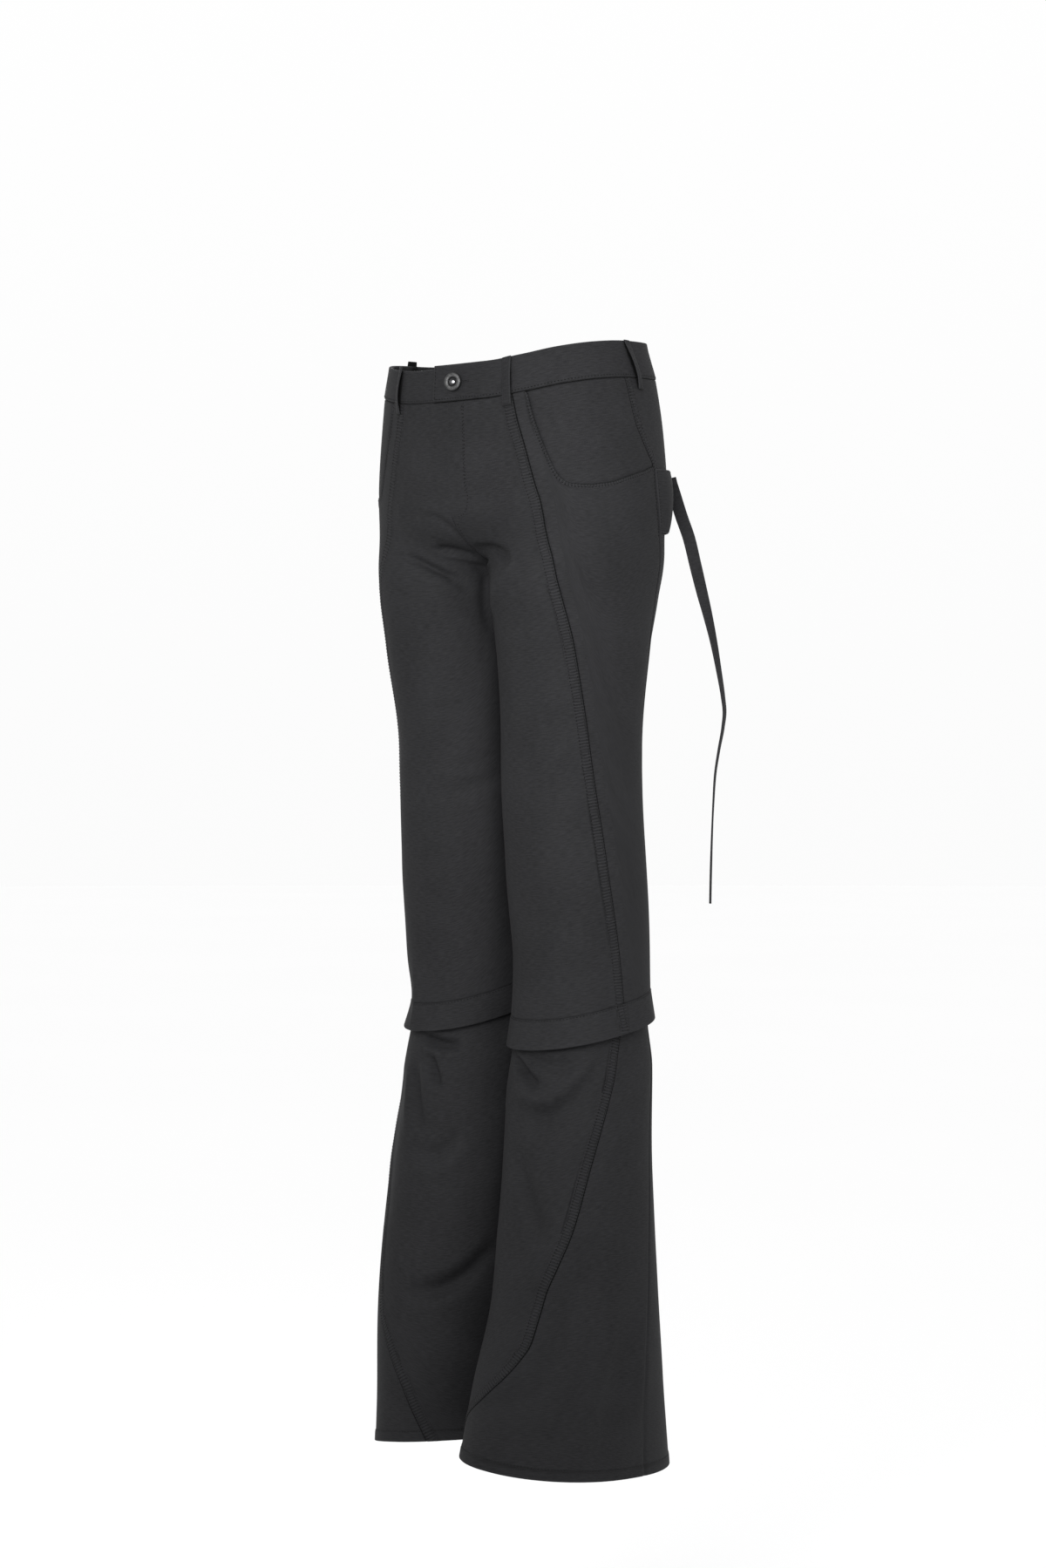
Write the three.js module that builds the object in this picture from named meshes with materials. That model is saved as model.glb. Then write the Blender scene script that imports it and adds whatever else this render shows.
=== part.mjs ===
// Convertible trousers: low-rise, flared, with zip-off lower legs under a turned knee hem.
//
// Units are millimetres, +Z is up, the front faces -Y and +X is the wearer's left.
// The origin is the middle of the waistband ring, where the wearer holds the garment up.
//
// Every piece of cloth is a wall laid on one smooth worn form. A place on the form is named by
//   side  +1 on the left half and -1 on the right half,
//   s     -1 at centre front (or the front of the inseam), 0 at the outer side and
//         +1 at centre back (or the back of the inseam),
//   h     the height of that place over the origin at the outer side.
// A maker's panel is a patch of the form between four seam lines drawn in s and h.

import * as THREE from 'three';

// ---------------------------------------------------------------- driving dimensions

const CLOTH_WALL = 1.6;
const BAND_WALL = 3;
const SEAM_GAP = 0.3;

const WAISTBAND = { top: 17.2, bottom: -17.2, tabEnd: -6, underEnd: 370, overlapEnd: 14, easeEnd: 24 };
// How far the waist dips or rises at each place, lowest in front; it fades out over the hips.
const WAIST_RISE = [
  { s: -1.1, rise: -17 },
  { s: -1, rise: -17 },
  { s: -0.83, rise: -16.2 },
  { s: -0.63, rise: -11 },
  { s: -0.45, rise: -4.6 },
  { s: -0.25, rise: 0.6 },
  { s: -0.05, rise: 3.8 },
  { s: 0.15, rise: 5.5 },
  { s: 0.5, rise: 10 },
  { s: 1, rise: 15 },
  { s: 1.1, rise: 15 },
];
const RISE_FADE = 230;

// The hips: half width and the depth of the front and the back at each height.
const HIP_ROWS = [
  { h: 40, halfWidth: 128, front: 100, back: 90 },
  { h: 19, halfWidth: 130, front: 100, back: 91.5 },
  { h: -20, halfWidth: 139, front: 101, back: 101.5 },
  { h: -70, halfWidth: 144.5, front: 101, back: 109 },
  { h: -120, halfWidth: 147, front: 99, back: 114 },
  { h: -170, halfWidth: 142, front: 97, back: 111 },
  { h: -230, halfWidth: 141, front: 97, back: 104 },
  { h: -300, halfWidth: 140, front: 96, back: 100 },
];

// The legs: where each ring's middle is, how far it strides fore or aft, and its radii.
const LEG_ROWS = [
  { h: -120, x: 75, y: 3, stride: 0, rx: 74, ry: 100 },
  { h: -170, x: 73, y: 2, stride: 0, rx: 68.5, ry: 95 },
  { h: -215, x: 69.5, y: -0.5, stride: 0, rx: 65, ry: 88 },
  { h: -256, x: 68, y: -1, stride: 0, rx: 65, ry: 78 },
  { h: -355, x: 63.5, y: 0.5, stride: 0, rx: 61.4, ry: 66 },
  { h: -462, x: 65, y: 5.5, stride: 0, rx: 62.2, ry: 66 },
  { h: -553, x: 67, y: 12.5, stride: 0, rx: 61.2, ry: 64 },
  { h: -645, x: 68, y: 12, stride: -3.5, rx: 62, ry: 69 },
  { h: -752, x: 71, y: 1.5, stride: -2, rx: 65.5, ry: 73 },
  { h: -860, x: 75, y: -2.5, stride: -4.5, rx: 69, ry: 82 },
  { h: -942, x: 75, y: 0.3, stride: -17, rx: 71, ry: 104 },
  { h: -1040, x: 77, y: 3.7, stride: -32, rx: 74.5, ry: 125 },
];

const HIP_SQUARENESS = 2.2;
const LEG_SQUARENESS = 2.15;
const CROTCH = { start: -120, seam: -182, end: -215, settle: 160, spread: 60, inner: 0.45 };

// Seams of the upper leg, front to back.
const FRONT_SEAM = [
  { h: -17.2, s: -0.698 },
  { h: -42, s: -0.68 },
  { h: -60, s: -0.66 },
  { h: -77, s: -0.64 },
  { h: -95, s: -0.622 },
  { h: -112, s: -0.603 },
  { h: -130, s: -0.573 },
  { h: -147, s: -0.52 },
  { h: -165, s: -0.445 },
  { h: -181, s: -0.378 },
  { h: -198, s: -0.325 },
  { h: -213, s: -0.295 },
  { h: -229, s: -0.28 },
  { h: -245, s: -0.267 },
  { h: -292, s: -0.232 },
  { h: -335, s: -0.196 },
  { h: -381, s: -0.167 },
  { h: -457, s: -0.123 },
  { h: -547, s: -0.085 },
  { h: -587, s: -0.06 },
  { h: -620, s: -0.035 },
];
const POCKET_MOUTH = [
  { s: -0.625, h: -17.2 },
  { s: -0.601, h: -42 },
  { s: -0.576, h: -60 },
  { s: -0.553, h: -74 },
  { s: -0.525, h: -89 },
  { s: -0.495, h: -102 },
  { s: -0.45, h: -109.5 },
  { s: -0.387, h: -112.5 },
  { s: -0.317, h: -113.5 },
  { s: -0.213, h: -112.3 },
  { s: -0.098, h: -107.5 },
  { s: -0.003, h: -103 },
  { s: 0.103, h: -96.5 },
];
const MOUTH_LOW = Math.min(...POCKET_MOUTH.map((row) => row.h));
const SHARE_SPAN = 320;
const FACING_SEAM = [
  { h: -17.2, s: -0.066 },
  { h: -30, s: -0.052 },
  { h: -55, s: -0.022 },
  { h: -70, s: 0.01 },
  { h: -79, s: 0.037 },
  { h: -96.5, s: 0.103 },
];
const SIDE_BACK_SEAM = [
  { h: -96.5, s: 0.103 },
  { h: -116, s: 0.116 },
  { h: -132, s: 0.135 },
  { h: -147, s: 0.153 },
  { h: -160, s: 0.16 },
  { h: -178, s: 0.164 },
  { h: -225, s: 0.175 },
  { h: -287, s: 0.19 },
  { h: -400, s: 0.27 },
  { h: -620, s: 0.31 },
];

// The seam that winds from the outer knee round the shin to the inner hem.
const WINDING_SEAM = {
  left: [
    { h: -580, s: -0.04 },
    { h: -621, s: -0.06 },
    { h: -646, s: -0.085 },
    { h: -680, s: -0.127 },
    { h: -746, s: -0.213 },
    { h: -801, s: -0.285 },
    { h: -828, s: -0.335 },
    { h: -856, s: -0.382 },
    { h: -879, s: -0.398 },
    { h: -899, s: -0.406 },
    { h: -913, s: -0.432 },
    { h: -931, s: -0.487 },
    { h: -949, s: -0.565 },
    { h: -969, s: -0.685 },
    { h: -1000, s: -0.8 },
    { h: -1025, s: -0.88 },
  ],
  right: [
    { h: -580, s: -0.04 },
    { h: -621, s: -0.06 },
    { h: -646, s: -0.085 },
    { h: -680, s: -0.127 },
    { h: -746, s: -0.213 },
    { h: -801, s: -0.285 },
    { h: -855, s: -0.315 },
    { h: -889, s: -0.352 },
    { h: -919, s: -0.436 },
    { h: -946, s: -0.503 },
    { h: -974, s: -0.562 },
    { h: -1002, s: -0.623 },
    { h: -1025, s: -0.67 },
  ],
};

// The turned hem at the knee, lowest at the front of the leg, and the trouser hem.
const KNEE_HEM = {
  left: { top: -591.5, topSwing: 15, bottom: -619.5, bottomSwing: 15, lowAt: -0.56 },
  right: { top: -578.5, topSwing: 18, bottom: -605, bottomSwing: 18, lowAt: -0.42 },
};
const KNEE_HEM_WALL = 2.6;
const KNEE_HEM_OFFSET = { top: 0.2, bottom: 3.8, innerShare: 0.3 };
const LOWER_LEG = { tuckedUnder: 10, pinch: 3.5, pinchFade: 45 };
const ZIP_TAPE = { wall: 1.2, below: 6, topOffset: -2.2 };
const TROUSER_HEM = { height: -1015.5, foreAft: 7.5, outer: 8.5 };

// Folds of the cloth: each runs from (s0, h0) by way of (s1, h1) to (s2, h2), a trough where
// its depth is positive and a ridge where it is negative.
const FOLDS = [
  { leg: 'right', s0: -0.7, h0: -129, s1: -0.87, h1: -126, s2: -0.98, h2: -150, width: 8, depth: 2.4 },
  { leg: 'right', s0: -0.83, h0: -166, s1: -0.9, h1: -169, s2: -0.99, h2: -180, width: 7, depth: 5 },
  { leg: 'right', s0: -0.6, h0: -172, s1: -0.72, h1: -184, s2: -0.8, h2: -232, width: 9, depth: 4 },
  { leg: 'left', s0: -0.97, h0: -176, s1: -0.8, h1: -166, s2: -0.6, h2: -186, width: 9, depth: 4 },
  { leg: 'left', s0: -0.56, h0: -184, s1: -0.62, h1: -212, s2: -0.74, h2: -240, width: 11, depth: -3 },
  { leg: 'left', s0: -0.66, h0: -645, s1: -0.58, h1: -650, s2: -0.46, h2: -668, width: 9, depth: 4 },
  { leg: 'left', s0: -0.63, h0: -668, s1: -0.46, h1: -694, s2: -0.2, h2: -636, width: 9, depth: -4 },
  { leg: 'left', s0: -0.66, h0: -690, s1: -0.45, h1: -718, s2: -0.24, h2: -672, width: 13, depth: 4 },
  { leg: 'right', s0: -0.47, h0: -629, s1: -0.55, h1: -633, s2: -0.66, h2: -632, width: 7, depth: 4 },
  { leg: 'right', s0: -0.5, h0: -640, s1: -0.53, h1: -660, s2: -0.58, h2: -672, width: 7, depth: 3 },
  { leg: 'right', s0: -0.42, h0: -650, s1: -0.44, h1: -700, s2: -0.64, h2: -738, width: 13, depth: 4 },
  { leg: 'right', s0: -0.54, h0: -864, s1: -0.72, h1: -866, s2: -0.92, h2: -842, width: 12, depth: 5 },
  { leg: 'right', s0: -0.95, h0: -690, s1: -0.9, h1: -760, s2: -0.86, h2: -830, width: 20, depth: -4 },
  { leg: 'left', s0: -0.62, h0: -700, s1: -0.52, h1: -760, s2: -0.42, h2: -812, width: 15, depth: 3.5 },
  { leg: 'left', s0: -0.24, h0: -800, s1: -0.2, h1: -860, s2: -0.17, h2: -960, width: 18, depth: 3.5 },
  { leg: 'left', s0: -0.02, h0: -850, s1: -0.05, h1: -910, s2: -0.07, h2: -990, width: 18, depth: 3.5 },
  { leg: 'left', s0: 0.52, h0: -560, s1: 0.66, h1: -590, s2: 0.86, h2: -560, width: 15, depth: 4 },
  { leg: 'right', s0: 0.5, h0: -575, s1: 0.68, h1: -560, s2: 0.88, h2: -580, width: 15, depth: 4 },
  { leg: 'left', s0: 0.4, h0: -690, s1: 0.6, h1: -660, s2: 0.82, h2: -700, width: 15, depth: 4 },
  { leg: 'right', s0: 0.36, h0: -668, s1: 0.56, h1: -700, s2: 0.8, h2: -676, width: 15, depth: 4 },
  { leg: 'left', s0: 0.6, h0: -205, s1: 0.75, h1: -215, s2: 0.95, h2: -188, width: 13, depth: 4 },
  { leg: 'right', s0: 0.56, h0: -212, s1: 0.74, h1: -208, s2: 0.95, h2: -190, width: 13, depth: 4 },
  { leg: 'left', s0: 0.44, h0: -830, s1: 0.5, h1: -900, s2: 0.47, h2: -1000, width: 20, depth: 4 },
  { leg: 'right', s0: 0.36, h0: -800, s1: 0.4, h1: -880, s2: 0.45, h2: -990, width: 20, depth: 4 },
  { leg: 'right', s0: 0.02, h0: -820, s1: 0, h1: -900, s2: -0.04, h2: -980, width: 18, depth: 3 },
  { leg: 'right', s0: -0.38, h0: -590, s1: -0.2, h1: -592, s2: -0.02, h2: -590, width: 30, depth: 6 },
];
const FOLD_STEPS = 8;

const BELT_LOOP = {
  width: 8.8, wall: 1.8, top: 17.4, bottom: -28, standOff: 2.8, bow: 2.8, lowOffset: 2.1, lowFrom: 0.7,
  rows: 8,
};
const BELT_LOOPS = [
  { name: 'belt_loop_front_left', side: 1, s: -0.716, lean: -0.017 },
  { name: 'belt_loop_front_right', side: -1, s: -0.685, lean: -0.01 },
  { name: 'belt_loop_side_left', side: 1, s: 0.011, lean: 0.055 },
  { name: 'belt_loop_side_right', side: -1, s: 0.011, lean: 0.055 },
  { name: 'belt_loop_back', side: 1, s: 1, lean: 0 },
];

// The button stands off the tab on its shank and is turned a little to the wearer's left.
const BUTTON = {
  s: -0.964, turn: 14, standOff: 2, shank: 1.4, shankRadius: 2.6,
  radius: 8.5, thickness: 3.4, rim: 1.4, dishRadius: 5.4, eyeRadius: 2.2, segments: 24,
};

// A gusset patch that stands off the back panel behind the side seam, and the tie sewn to it.
const GUSSET = {
  behindSeam: 0.008, sBack: 0.42, top: -99, bottom: -155, lift: 1.2, bulge: 4.2, rows: 6, columns: 6,
};
// The tie's section is an ellipse drawn out by these two shares and cut off flat at its width and
// thickness.
const TIE = {
  width: 12, thickness: 1.8, sides: 8, steps: 60, azimuth: 40, depth: -8, squareWide: 1.08, squareThick: 2.6,
};
// The tie's way: how far out it stands along its azimuth, how high it is, and its turn.
const TIE_ROWS = [
  { out: 142.8, z: -99, turn: 0 },
  { out: 144, z: -104, turn: 0 },
  { out: 146.2, z: -111, turn: 0 },
  { out: 149.3, z: -121, turn: 2 },
  { out: 154.1, z: -136, turn: 5 },
  { out: 161, z: -156, turn: 8 },
  { out: 167, z: -181, turn: 14 },
  { out: 173, z: -206, turn: 26 },
  { out: 179, z: -230, turn: 42 },
  { out: 184.5, z: -255, turn: 56 },
  { out: 189, z: -280, turn: 66 },
  { out: 193, z: -305, turn: 73 },
  { out: 194.5, z: -320, turn: 76 },
  { out: 193, z: -335, turn: 79 },
  { out: 189, z: -357, turn: 82 },
  { out: 185.5, z: -381, turn: 84 },
  { out: 184, z: -405, turn: 86 },
  { out: 182.5, z: -440, turn: 88 },
  { out: 181.5, z: -475, turn: 90 },
  { out: 181, z: -501, turn: 90 },
];

// How finely each piece is divided.
const UPPER_SPANS = {
  front: 10, strip: 1, mouthDown: 5, mouthRound: 7, facing: 5, back: 10, hip: 10, thigh: 12,
};
const KNEE_SPANS = { round: 36, hem: 3, tape: 1 };
const LOWER_SPANS = { rows: 15, shin: 8, calf: 17 };
const BAND_SPANS = { round: 54, high: 2 };

const CLOTH_COLOUR = 0x38383a;
const METAL_COLOUR = 0x3c3d42;
const TAPE_COLOUR = 0x1c1c1e;

// ---------------------------------------------------------------- small helpers

const clamp = THREE.MathUtils.clamp;

/** A soft step from 0 to 1 while t goes from 0 to 1. */
function ease(t) {
  const u = clamp(t, 0, 1);
  return u * u * (3 - 2 * u);
}

/** A power that keeps the sign of its base, for rounded-square sections. */
function signedPower(value, power) {
  return Math.sign(value) * Math.abs(value) ** power;
}

/** A smooth curve through a table's rows that never overshoots them: column `y` over column `x`. */
function through(rows, x, y) {
  const sorted = [...rows].sort((a, b) => a[x] - b[x]);
  const xs = sorted.map((row) => row[x]);
  const ys = sorted.map((row) => row[y]);
  const gaps = xs.slice(1).map((value, i) => value - xs[i]);
  const rises = gaps.map((gap, i) => (ys[i + 1] - ys[i]) / gap);
  const slopes = ys.map((_, i) => {
    if (i === 0) return rises[0];
    if (i === rises.length) return rises[i - 1];
    const before = rises[i - 1];
    const after = rises[i];
    if (before * after <= 0) return 0;
    const w1 = 2 * gaps[i] + gaps[i - 1];
    const w2 = gaps[i] + 2 * gaps[i - 1];
    return (w1 + w2) / (w1 / before + w2 / after);
  });
  return (at) => {
    let i = 0;
    while (i < gaps.length - 1 && at > xs[i + 1]) i += 1;
    const t = clamp((at - xs[i]) / gaps[i], 0, 1);
    const beyond = at - clamp(at, xs[0], xs[xs.length - 1]);
    const t2 = t * t;
    const t3 = t2 * t;
    return (
      ys[i] * (2 * t3 - 3 * t2 + 1) +
      slopes[i] * gaps[i] * (t3 - 2 * t2 + t) +
      ys[i + 1] * (3 * t2 - 2 * t3) +
      slopes[i + 1] * gaps[i] * (t3 - t2) +
      beyond * (at < xs[0] ? slopes[0] : slopes[slopes.length - 1])
    );
  };
}

const hip = {
  halfWidth: through(HIP_ROWS, 'h', 'halfWidth'),
  front: through(HIP_ROWS, 'h', 'front'),
  back: through(HIP_ROWS, 'h', 'back'),
};
const waistRise = through(WAIST_RISE, 's', 'rise');
const leg = {
  x: through(LEG_ROWS, 'h', 'x'),
  y: through(LEG_ROWS, 'h', 'y'),
  stride: through(LEG_ROWS, 'h', 'stride'),
  rx: through(LEG_ROWS, 'h', 'rx'),
  ry: through(LEG_ROWS, 'h', 'ry'),
};

// ---------------------------------------------------------------- the worn form

/** The hip ring's x and y at a place, on the left half. */
function hipPlace(s, h) {
  const angle = (s * Math.PI) / 2;
  const depth = s < 0 ? hip.front(h) : hip.back(h);
  return {
    x: hip.halfWidth(h) * signedPower(Math.cos(angle), 2 / HIP_SQUARENESS),
    y: depth * signedPower(Math.sin(angle), 2 / HIP_SQUARENESS),
  };
}

/** The leg ring's x and y at a place, with x counted outward from the middle of the body. */
function legPlace(side, s, h) {
  const angle = s * Math.PI;
  return {
    x: leg.x(h) + leg.rx(h) * signedPower(Math.cos(angle), 2 / LEG_SQUARENESS),
    y: leg.y(h) + side * leg.stride(h) + leg.ry(h) * signedPower(Math.sin(angle), 2 / LEG_SQUARENESS),
  };
}

/** How far the waist's line lifts a place: down in front and up behind, fading over the hips. */
function riseAt(s, h) {
  return waistRise(s) * (h > 0 ? 1 : ease((h + RISE_FADE) / RISE_FADE));
}

/** A point of the smooth form: the hip ring passes into two leg rings through the crotch. */
function formPoint(side, s, h) {
  const inner = ease((Math.abs(s) - CROTCH.inner) / (1 - CROTCH.inner));
  const down = clamp((CROTCH.start - h) / (CROTCH.start - CROTCH.end), 0, 1);
  const quarter = (down * Math.PI) / 2;
  const share = THREE.MathUtils.lerp(ease(down), 1 - Math.cos(quarter), inner);
  let seamHeight = h;
  if (h <= CROTCH.end) {
    const settled = ease((CROTCH.end - h) / CROTCH.settle);
    seamHeight = h + (CROTCH.seam - CROTCH.end) * (1 - settled);
  } else if (h <= CROTCH.start) {
    seamHeight = CROTCH.seam + (CROTCH.start - CROTCH.seam) * (1 - Math.sin(quarter));
  }
  const onHip = hipPlace(s, h);
  const onLeg = legPlace(side, s, h);
  const closed = 1 - ease((CROTCH.end - h) / CROTCH.spread);
  onLeg.x -= legPlace(side, 1, h).x * inner * inner * closed;
  let x = THREE.MathUtils.lerp(onHip.x, onLeg.x, share);
  if (h > CROTCH.end) x = Math.max(x, 0);
  const y = THREE.MathUtils.lerp(onHip.y, onLeg.y, share);
  const z = THREE.MathUtils.lerp(h, seamHeight, inner) + riseAt(s, h);
  return new THREE.Vector3(side * x, y, z);
}

/** The form carried on past centre front, centre back or the inseam, so that it has a slope there. */
function formBeyond(side, s, h) {
  if (Math.abs(s) <= 1) return formPoint(side, s, h);
  if (h > CROTCH.end) return formPoint(-side, 2 * Math.sign(s) - s, h);
  return formPoint(side, s - 2 * Math.sign(s), h);
}

/** The outward direction of the form at a place. */
function formNormal(side, s, h) {
  const ds = 0.01;
  const dh = 2;
  const along = formBeyond(side, s + ds, h).sub(formBeyond(side, s - ds, h));
  const up = formBeyond(side, s, h + dh).sub(formBeyond(side, s, h - dh));
  return along.cross(up).multiplyScalar(side).normalize();
}

/** Millimetres for one unit of s at height h. */
function breadth(h) {
  const onLeg = (Math.PI * (leg.rx(h) + leg.ry(h))) / 2;
  const onHip = (Math.PI * (hip.halfWidth(h) + hip.front(h))) / 4;
  return THREE.MathUtils.lerp(onHip, onLeg, ease((CROTCH.start - h) / (CROTCH.start - CROTCH.end)));
}

/** The points of a fold's line in millimetres over the cloth, worked out once. */
function foldLine(fold) {
  const points = [];
  for (let i = 0; i <= FOLD_STEPS; i += 1) {
    const t = i / FOLD_STEPS;
    const u = 1 - t;
    points.push({
      s: u * u * fold.s0 + 2 * u * t * fold.s1 + t * t * fold.s2,
      h: u * u * fold.h0 + 2 * u * t * fold.h1 + t * t * fold.h2,
    });
  }
  return { ...fold, side: fold.leg === 'left' ? 1 : -1, points };
}
const foldLines = FOLDS.map(foldLine);

/** How far the folds push a place in (negative) or out (positive). */
function foldLift(side, s, h) {
  let lift = 0;
  for (const fold of foldLines) {
    if (fold.side !== side) continue;
    const scale = breadth((fold.h0 + fold.h2) / 2);
    let nearest = Infinity;
    let along = 0;
    for (let i = 0; i < FOLD_STEPS; i += 1) {
      const a = fold.points[i];
      const b = fold.points[i + 1];
      const ex = (b.s - a.s) * scale;
      const ey = b.h - a.h;
      const px = (s - a.s) * scale;
      const py = h - a.h;
      const t = clamp((px * ex + py * ey) / (ex * ex + ey * ey), 0, 1);
      const distance = Math.hypot(px - t * ex, py - t * ey);
      if (distance < nearest) {
        nearest = distance;
        along = (i + t) / FOLD_STEPS;
      }
    }
    const fade = Math.sqrt(Math.max(0, Math.sin(Math.PI * along)));
    lift -= fold.depth * fade * Math.exp(-((nearest / fold.width) ** 2));
  }
  return lift;
}

/** A point of the cloth, moved out from the form by `out` and by the folds. */
function clothPoint(side, s, h, out = 0) {
  const normal = formNormal(side, s, h);
  const lift = foldLift(side, s, h);
  return { point: formPoint(side, s, h).addScaledVector(normal, out + lift), normal };
}

// ---------------------------------------------------------------- walls

/** Turns a list of corners into an indexed geometry, with its faces pointing out. */
function closedGeometry(corners, faces) {
  const geometry = new THREE.BufferGeometry();
  const position = corners.flatMap((corner) => [corner.x, corner.y, corner.z]);
  geometry.setAttribute('position', new THREE.Float32BufferAttribute(position, 3));
  let volume = 0;
  for (const [a, b, c] of faces) {
    volume += corners[a].dot(new THREE.Vector3().crossVectors(corners[b], corners[c]));
  }
  const outward = volume < 0 ? faces.map(([a, b, c]) => [a, c, b]) : faces;
  geometry.setIndex(outward.flat());
  geometry.computeVertexNormals();
  return geometry;
}

/** The direction across the cloth from an edge point to its inner neighbour, square to the edge. */
function inwardAt(point, neighbour, before, after) {
  const edge = new THREE.Vector3().subVectors(after, before).normalize();
  const inward = new THREE.Vector3().subVectors(neighbour, point);
  return inward.addScaledVector(edge, -inward.dot(edge)).normalize();
}

/** Draws the four edges of a patch in by half a seam gap, so that neighbours never touch. */
function drawnIn(grid, ring) {
  const rows = grid.length - 1;
  const columns = grid[0].length - 1;
  const shifts = grid.map((row) => row.map(() => new THREE.Vector3()));
  const half = SEAM_GAP / 2;
  for (let i = 0; i <= rows; i += 1) {
    for (const [j, neighbour] of ring ? [] : [[0, 1], [columns, columns - 1]]) {
      const before = grid[Math.max(i - 1, 0)][j].point;
      const after = grid[Math.min(i + 1, rows)][j].point;
      shifts[i][j].addScaledVector(inwardAt(grid[i][j].point, grid[i][neighbour].point, before, after), half);
    }
  }
  for (let j = 0; j <= columns; j += 1) {
    for (const [i, neighbour] of [[0, 1], [rows, rows - 1]]) {
      const before = grid[i][Math.max(j - 1, 0)].point;
      const after = grid[i][Math.min(j + 1, columns)].point;
      shifts[i][j].addScaledVector(inwardAt(grid[i][j].point, grid[neighbour][j].point, before, after), half);
    }
  }
  return grid.map((row, i) =>
    row.map(({ point, normal }, j) => ({ point: point.clone().add(shifts[i][j]), normal })),
  );
}

/**
 * A closed wall on a grid of {point, normal}; a ring joins its last column to its first, and
 * `side` keeps every corner on its own half of the body.
 */
function wallGeometry(rawGrid, wall, { ring = false, side = 0 } = {}) {
  const grid = drawnIn(rawGrid, ring);
  const rows = grid.length;
  const columns = grid[0].length;
  const corners = [];
  for (const direction of [0.5, -0.5]) {
    for (const row of grid) {
      for (const { point, normal } of row) {
        const corner = point.clone().addScaledVector(normal, direction * wall);
        if (side) corner.x = side * Math.max(side * corner.x, SEAM_GAP / 2);
        corners.push(corner);
      }
    }
  }
  const layer = rows * columns;
  const index = (i, j, under) => under * layer + i * columns + (j % columns);
  const faces = [];
  const quad = (a, b, c, d) => faces.push([a, b, c], [a, c, d]);
  const spans = ring ? columns : columns - 1;
  for (let i = 0; i < rows - 1; i += 1) {
    for (let j = 0; j < spans; j += 1) {
      quad(index(i, j, 0), index(i + 1, j, 0), index(i + 1, j + 1, 0), index(i, j + 1, 0));
      quad(index(i, j, 1), index(i, j + 1, 1), index(i + 1, j + 1, 1), index(i + 1, j, 1));
    }
  }
  for (let j = 0; j < spans; j += 1) {
    quad(index(0, j, 0), index(0, j + 1, 0), index(0, j + 1, 1), index(0, j, 1));
    quad(index(rows - 1, j, 0), index(rows - 1, j, 1), index(rows - 1, j + 1, 1), index(rows - 1, j + 1, 0));
  }
  if (!ring) {
    for (let i = 0; i < rows - 1; i += 1) {
      quad(index(i, 0, 0), index(i, 0, 1), index(i + 1, 0, 1), index(i + 1, 0, 0));
      quad(index(i, columns - 1, 0), index(i + 1, columns - 1, 0), index(i + 1, columns - 1, 1),
        index(i, columns - 1, 1));
    }
  }
  return closedGeometry(corners, faces);
}

// ---------------------------------------------------------------- seam lines and patches

/** Evenly spaced heights from `high` down to `low`. */
function heights(high, low, spans) {
  return Array.from({ length: spans + 1 }, (_, i) => THREE.MathUtils.lerp(high, low, i / spans));
}

/** A seam line down the cloth: s follows the table, the height goes in even steps. */
function seamDown(rows, high, low, spans) {
  const place = through(rows, 'h', 's');
  return heights(high, low, spans).map((h) => ({ s: place(h), h }));
}

/** A line down the cloth at one s. */
function straightDown(s, high, low, spans) {
  return heights(high, low, spans).map((h) => ({ s, h }));
}

/** A line round the cloth, its height worked out from s. */
function lineRound(from, to, spans, height) {
  return Array.from({ length: spans + 1 }, (_, i) => {
    const s = THREE.MathUtils.lerp(from, to, i / spans);
    return { s, h: height(s) };
  });
}

/** Two lines end to end, their shared point once. */
function joined(first, second) {
  return [...first, ...second.slice(1)];
}

/** A grid of places between four lines that share their corners. */
function patch(top, bottom, left, right) {
  const rows = left.length - 1;
  const columns = top.length - 1;
  const mix = (a, b, t) => a * (1 - t) + b * t;
  return left.map((_, i) => {
    const v = i / rows;
    return top.map((__, j) => {
      const u = j / columns;
      const place = {};
      for (const key of ['s', 'h']) {
        const across = mix(left[i][key], right[i][key], u);
        const down = mix(top[j][key], bottom[j][key], v);
        const corners = mix(
          mix(top[0][key], top[columns][key], u),
          mix(bottom[0][key], bottom[columns][key], u),
          v,
        );
        place[key] = across + down - corners;
      }
      return place;
    });
  });
}

/**
 * A grid whose columns keep their share of the way between two seams down to the pocket mouth's
 * lowest point, and from there pass to even shares.
 */
function hung(top, bottom, left, right, leftPlace, rightPlace) {
  const last = top.length - 1;
  const share = ({ s, h }) => (s - leftPlace(h)) / (rightPlace(h) - leftPlace(h));
  return left.map((start, i) => {
    const v = (start.h - left[0].h) / (left.at(-1).h - left[0].h);
    return top.map((from, j) => {
      if (j === 0) return left[i];
      if (j === last) return right[i];
      const h = THREE.MathUtils.lerp(from.h, bottom[j].h, v);
      const passed = ease((MOUTH_LOW - h) / SHARE_SPAN);
      const across = THREE.MathUtils.lerp(share(from), share(bottom[j]), passed);
      return { s: THREE.MathUtils.lerp(leftPlace(h), rightPlace(h), across), h };
    });
  });
}

/** Lays a grid of places on the cloth; `out` may be a function of a place. */
function laid(side, places, out = () => 0) {
  return places.map((row) => row.map(({ s, h }) => clothPoint(side, s, h, out(s, h))));
}

// ---------------------------------------------------------------- pieces

const clothMaterial = new THREE.MeshStandardMaterial({ color: CLOTH_COLOUR, roughness: 0.85, metalness: 0 });
const metalMaterial = new THREE.MeshStandardMaterial({ color: METAL_COLOUR, roughness: 0.4, metalness: 0.9 });
const tapeMaterial = new THREE.MeshStandardMaterial({ color: TAPE_COLOUR, roughness: 0.9, metalness: 0 });

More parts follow.
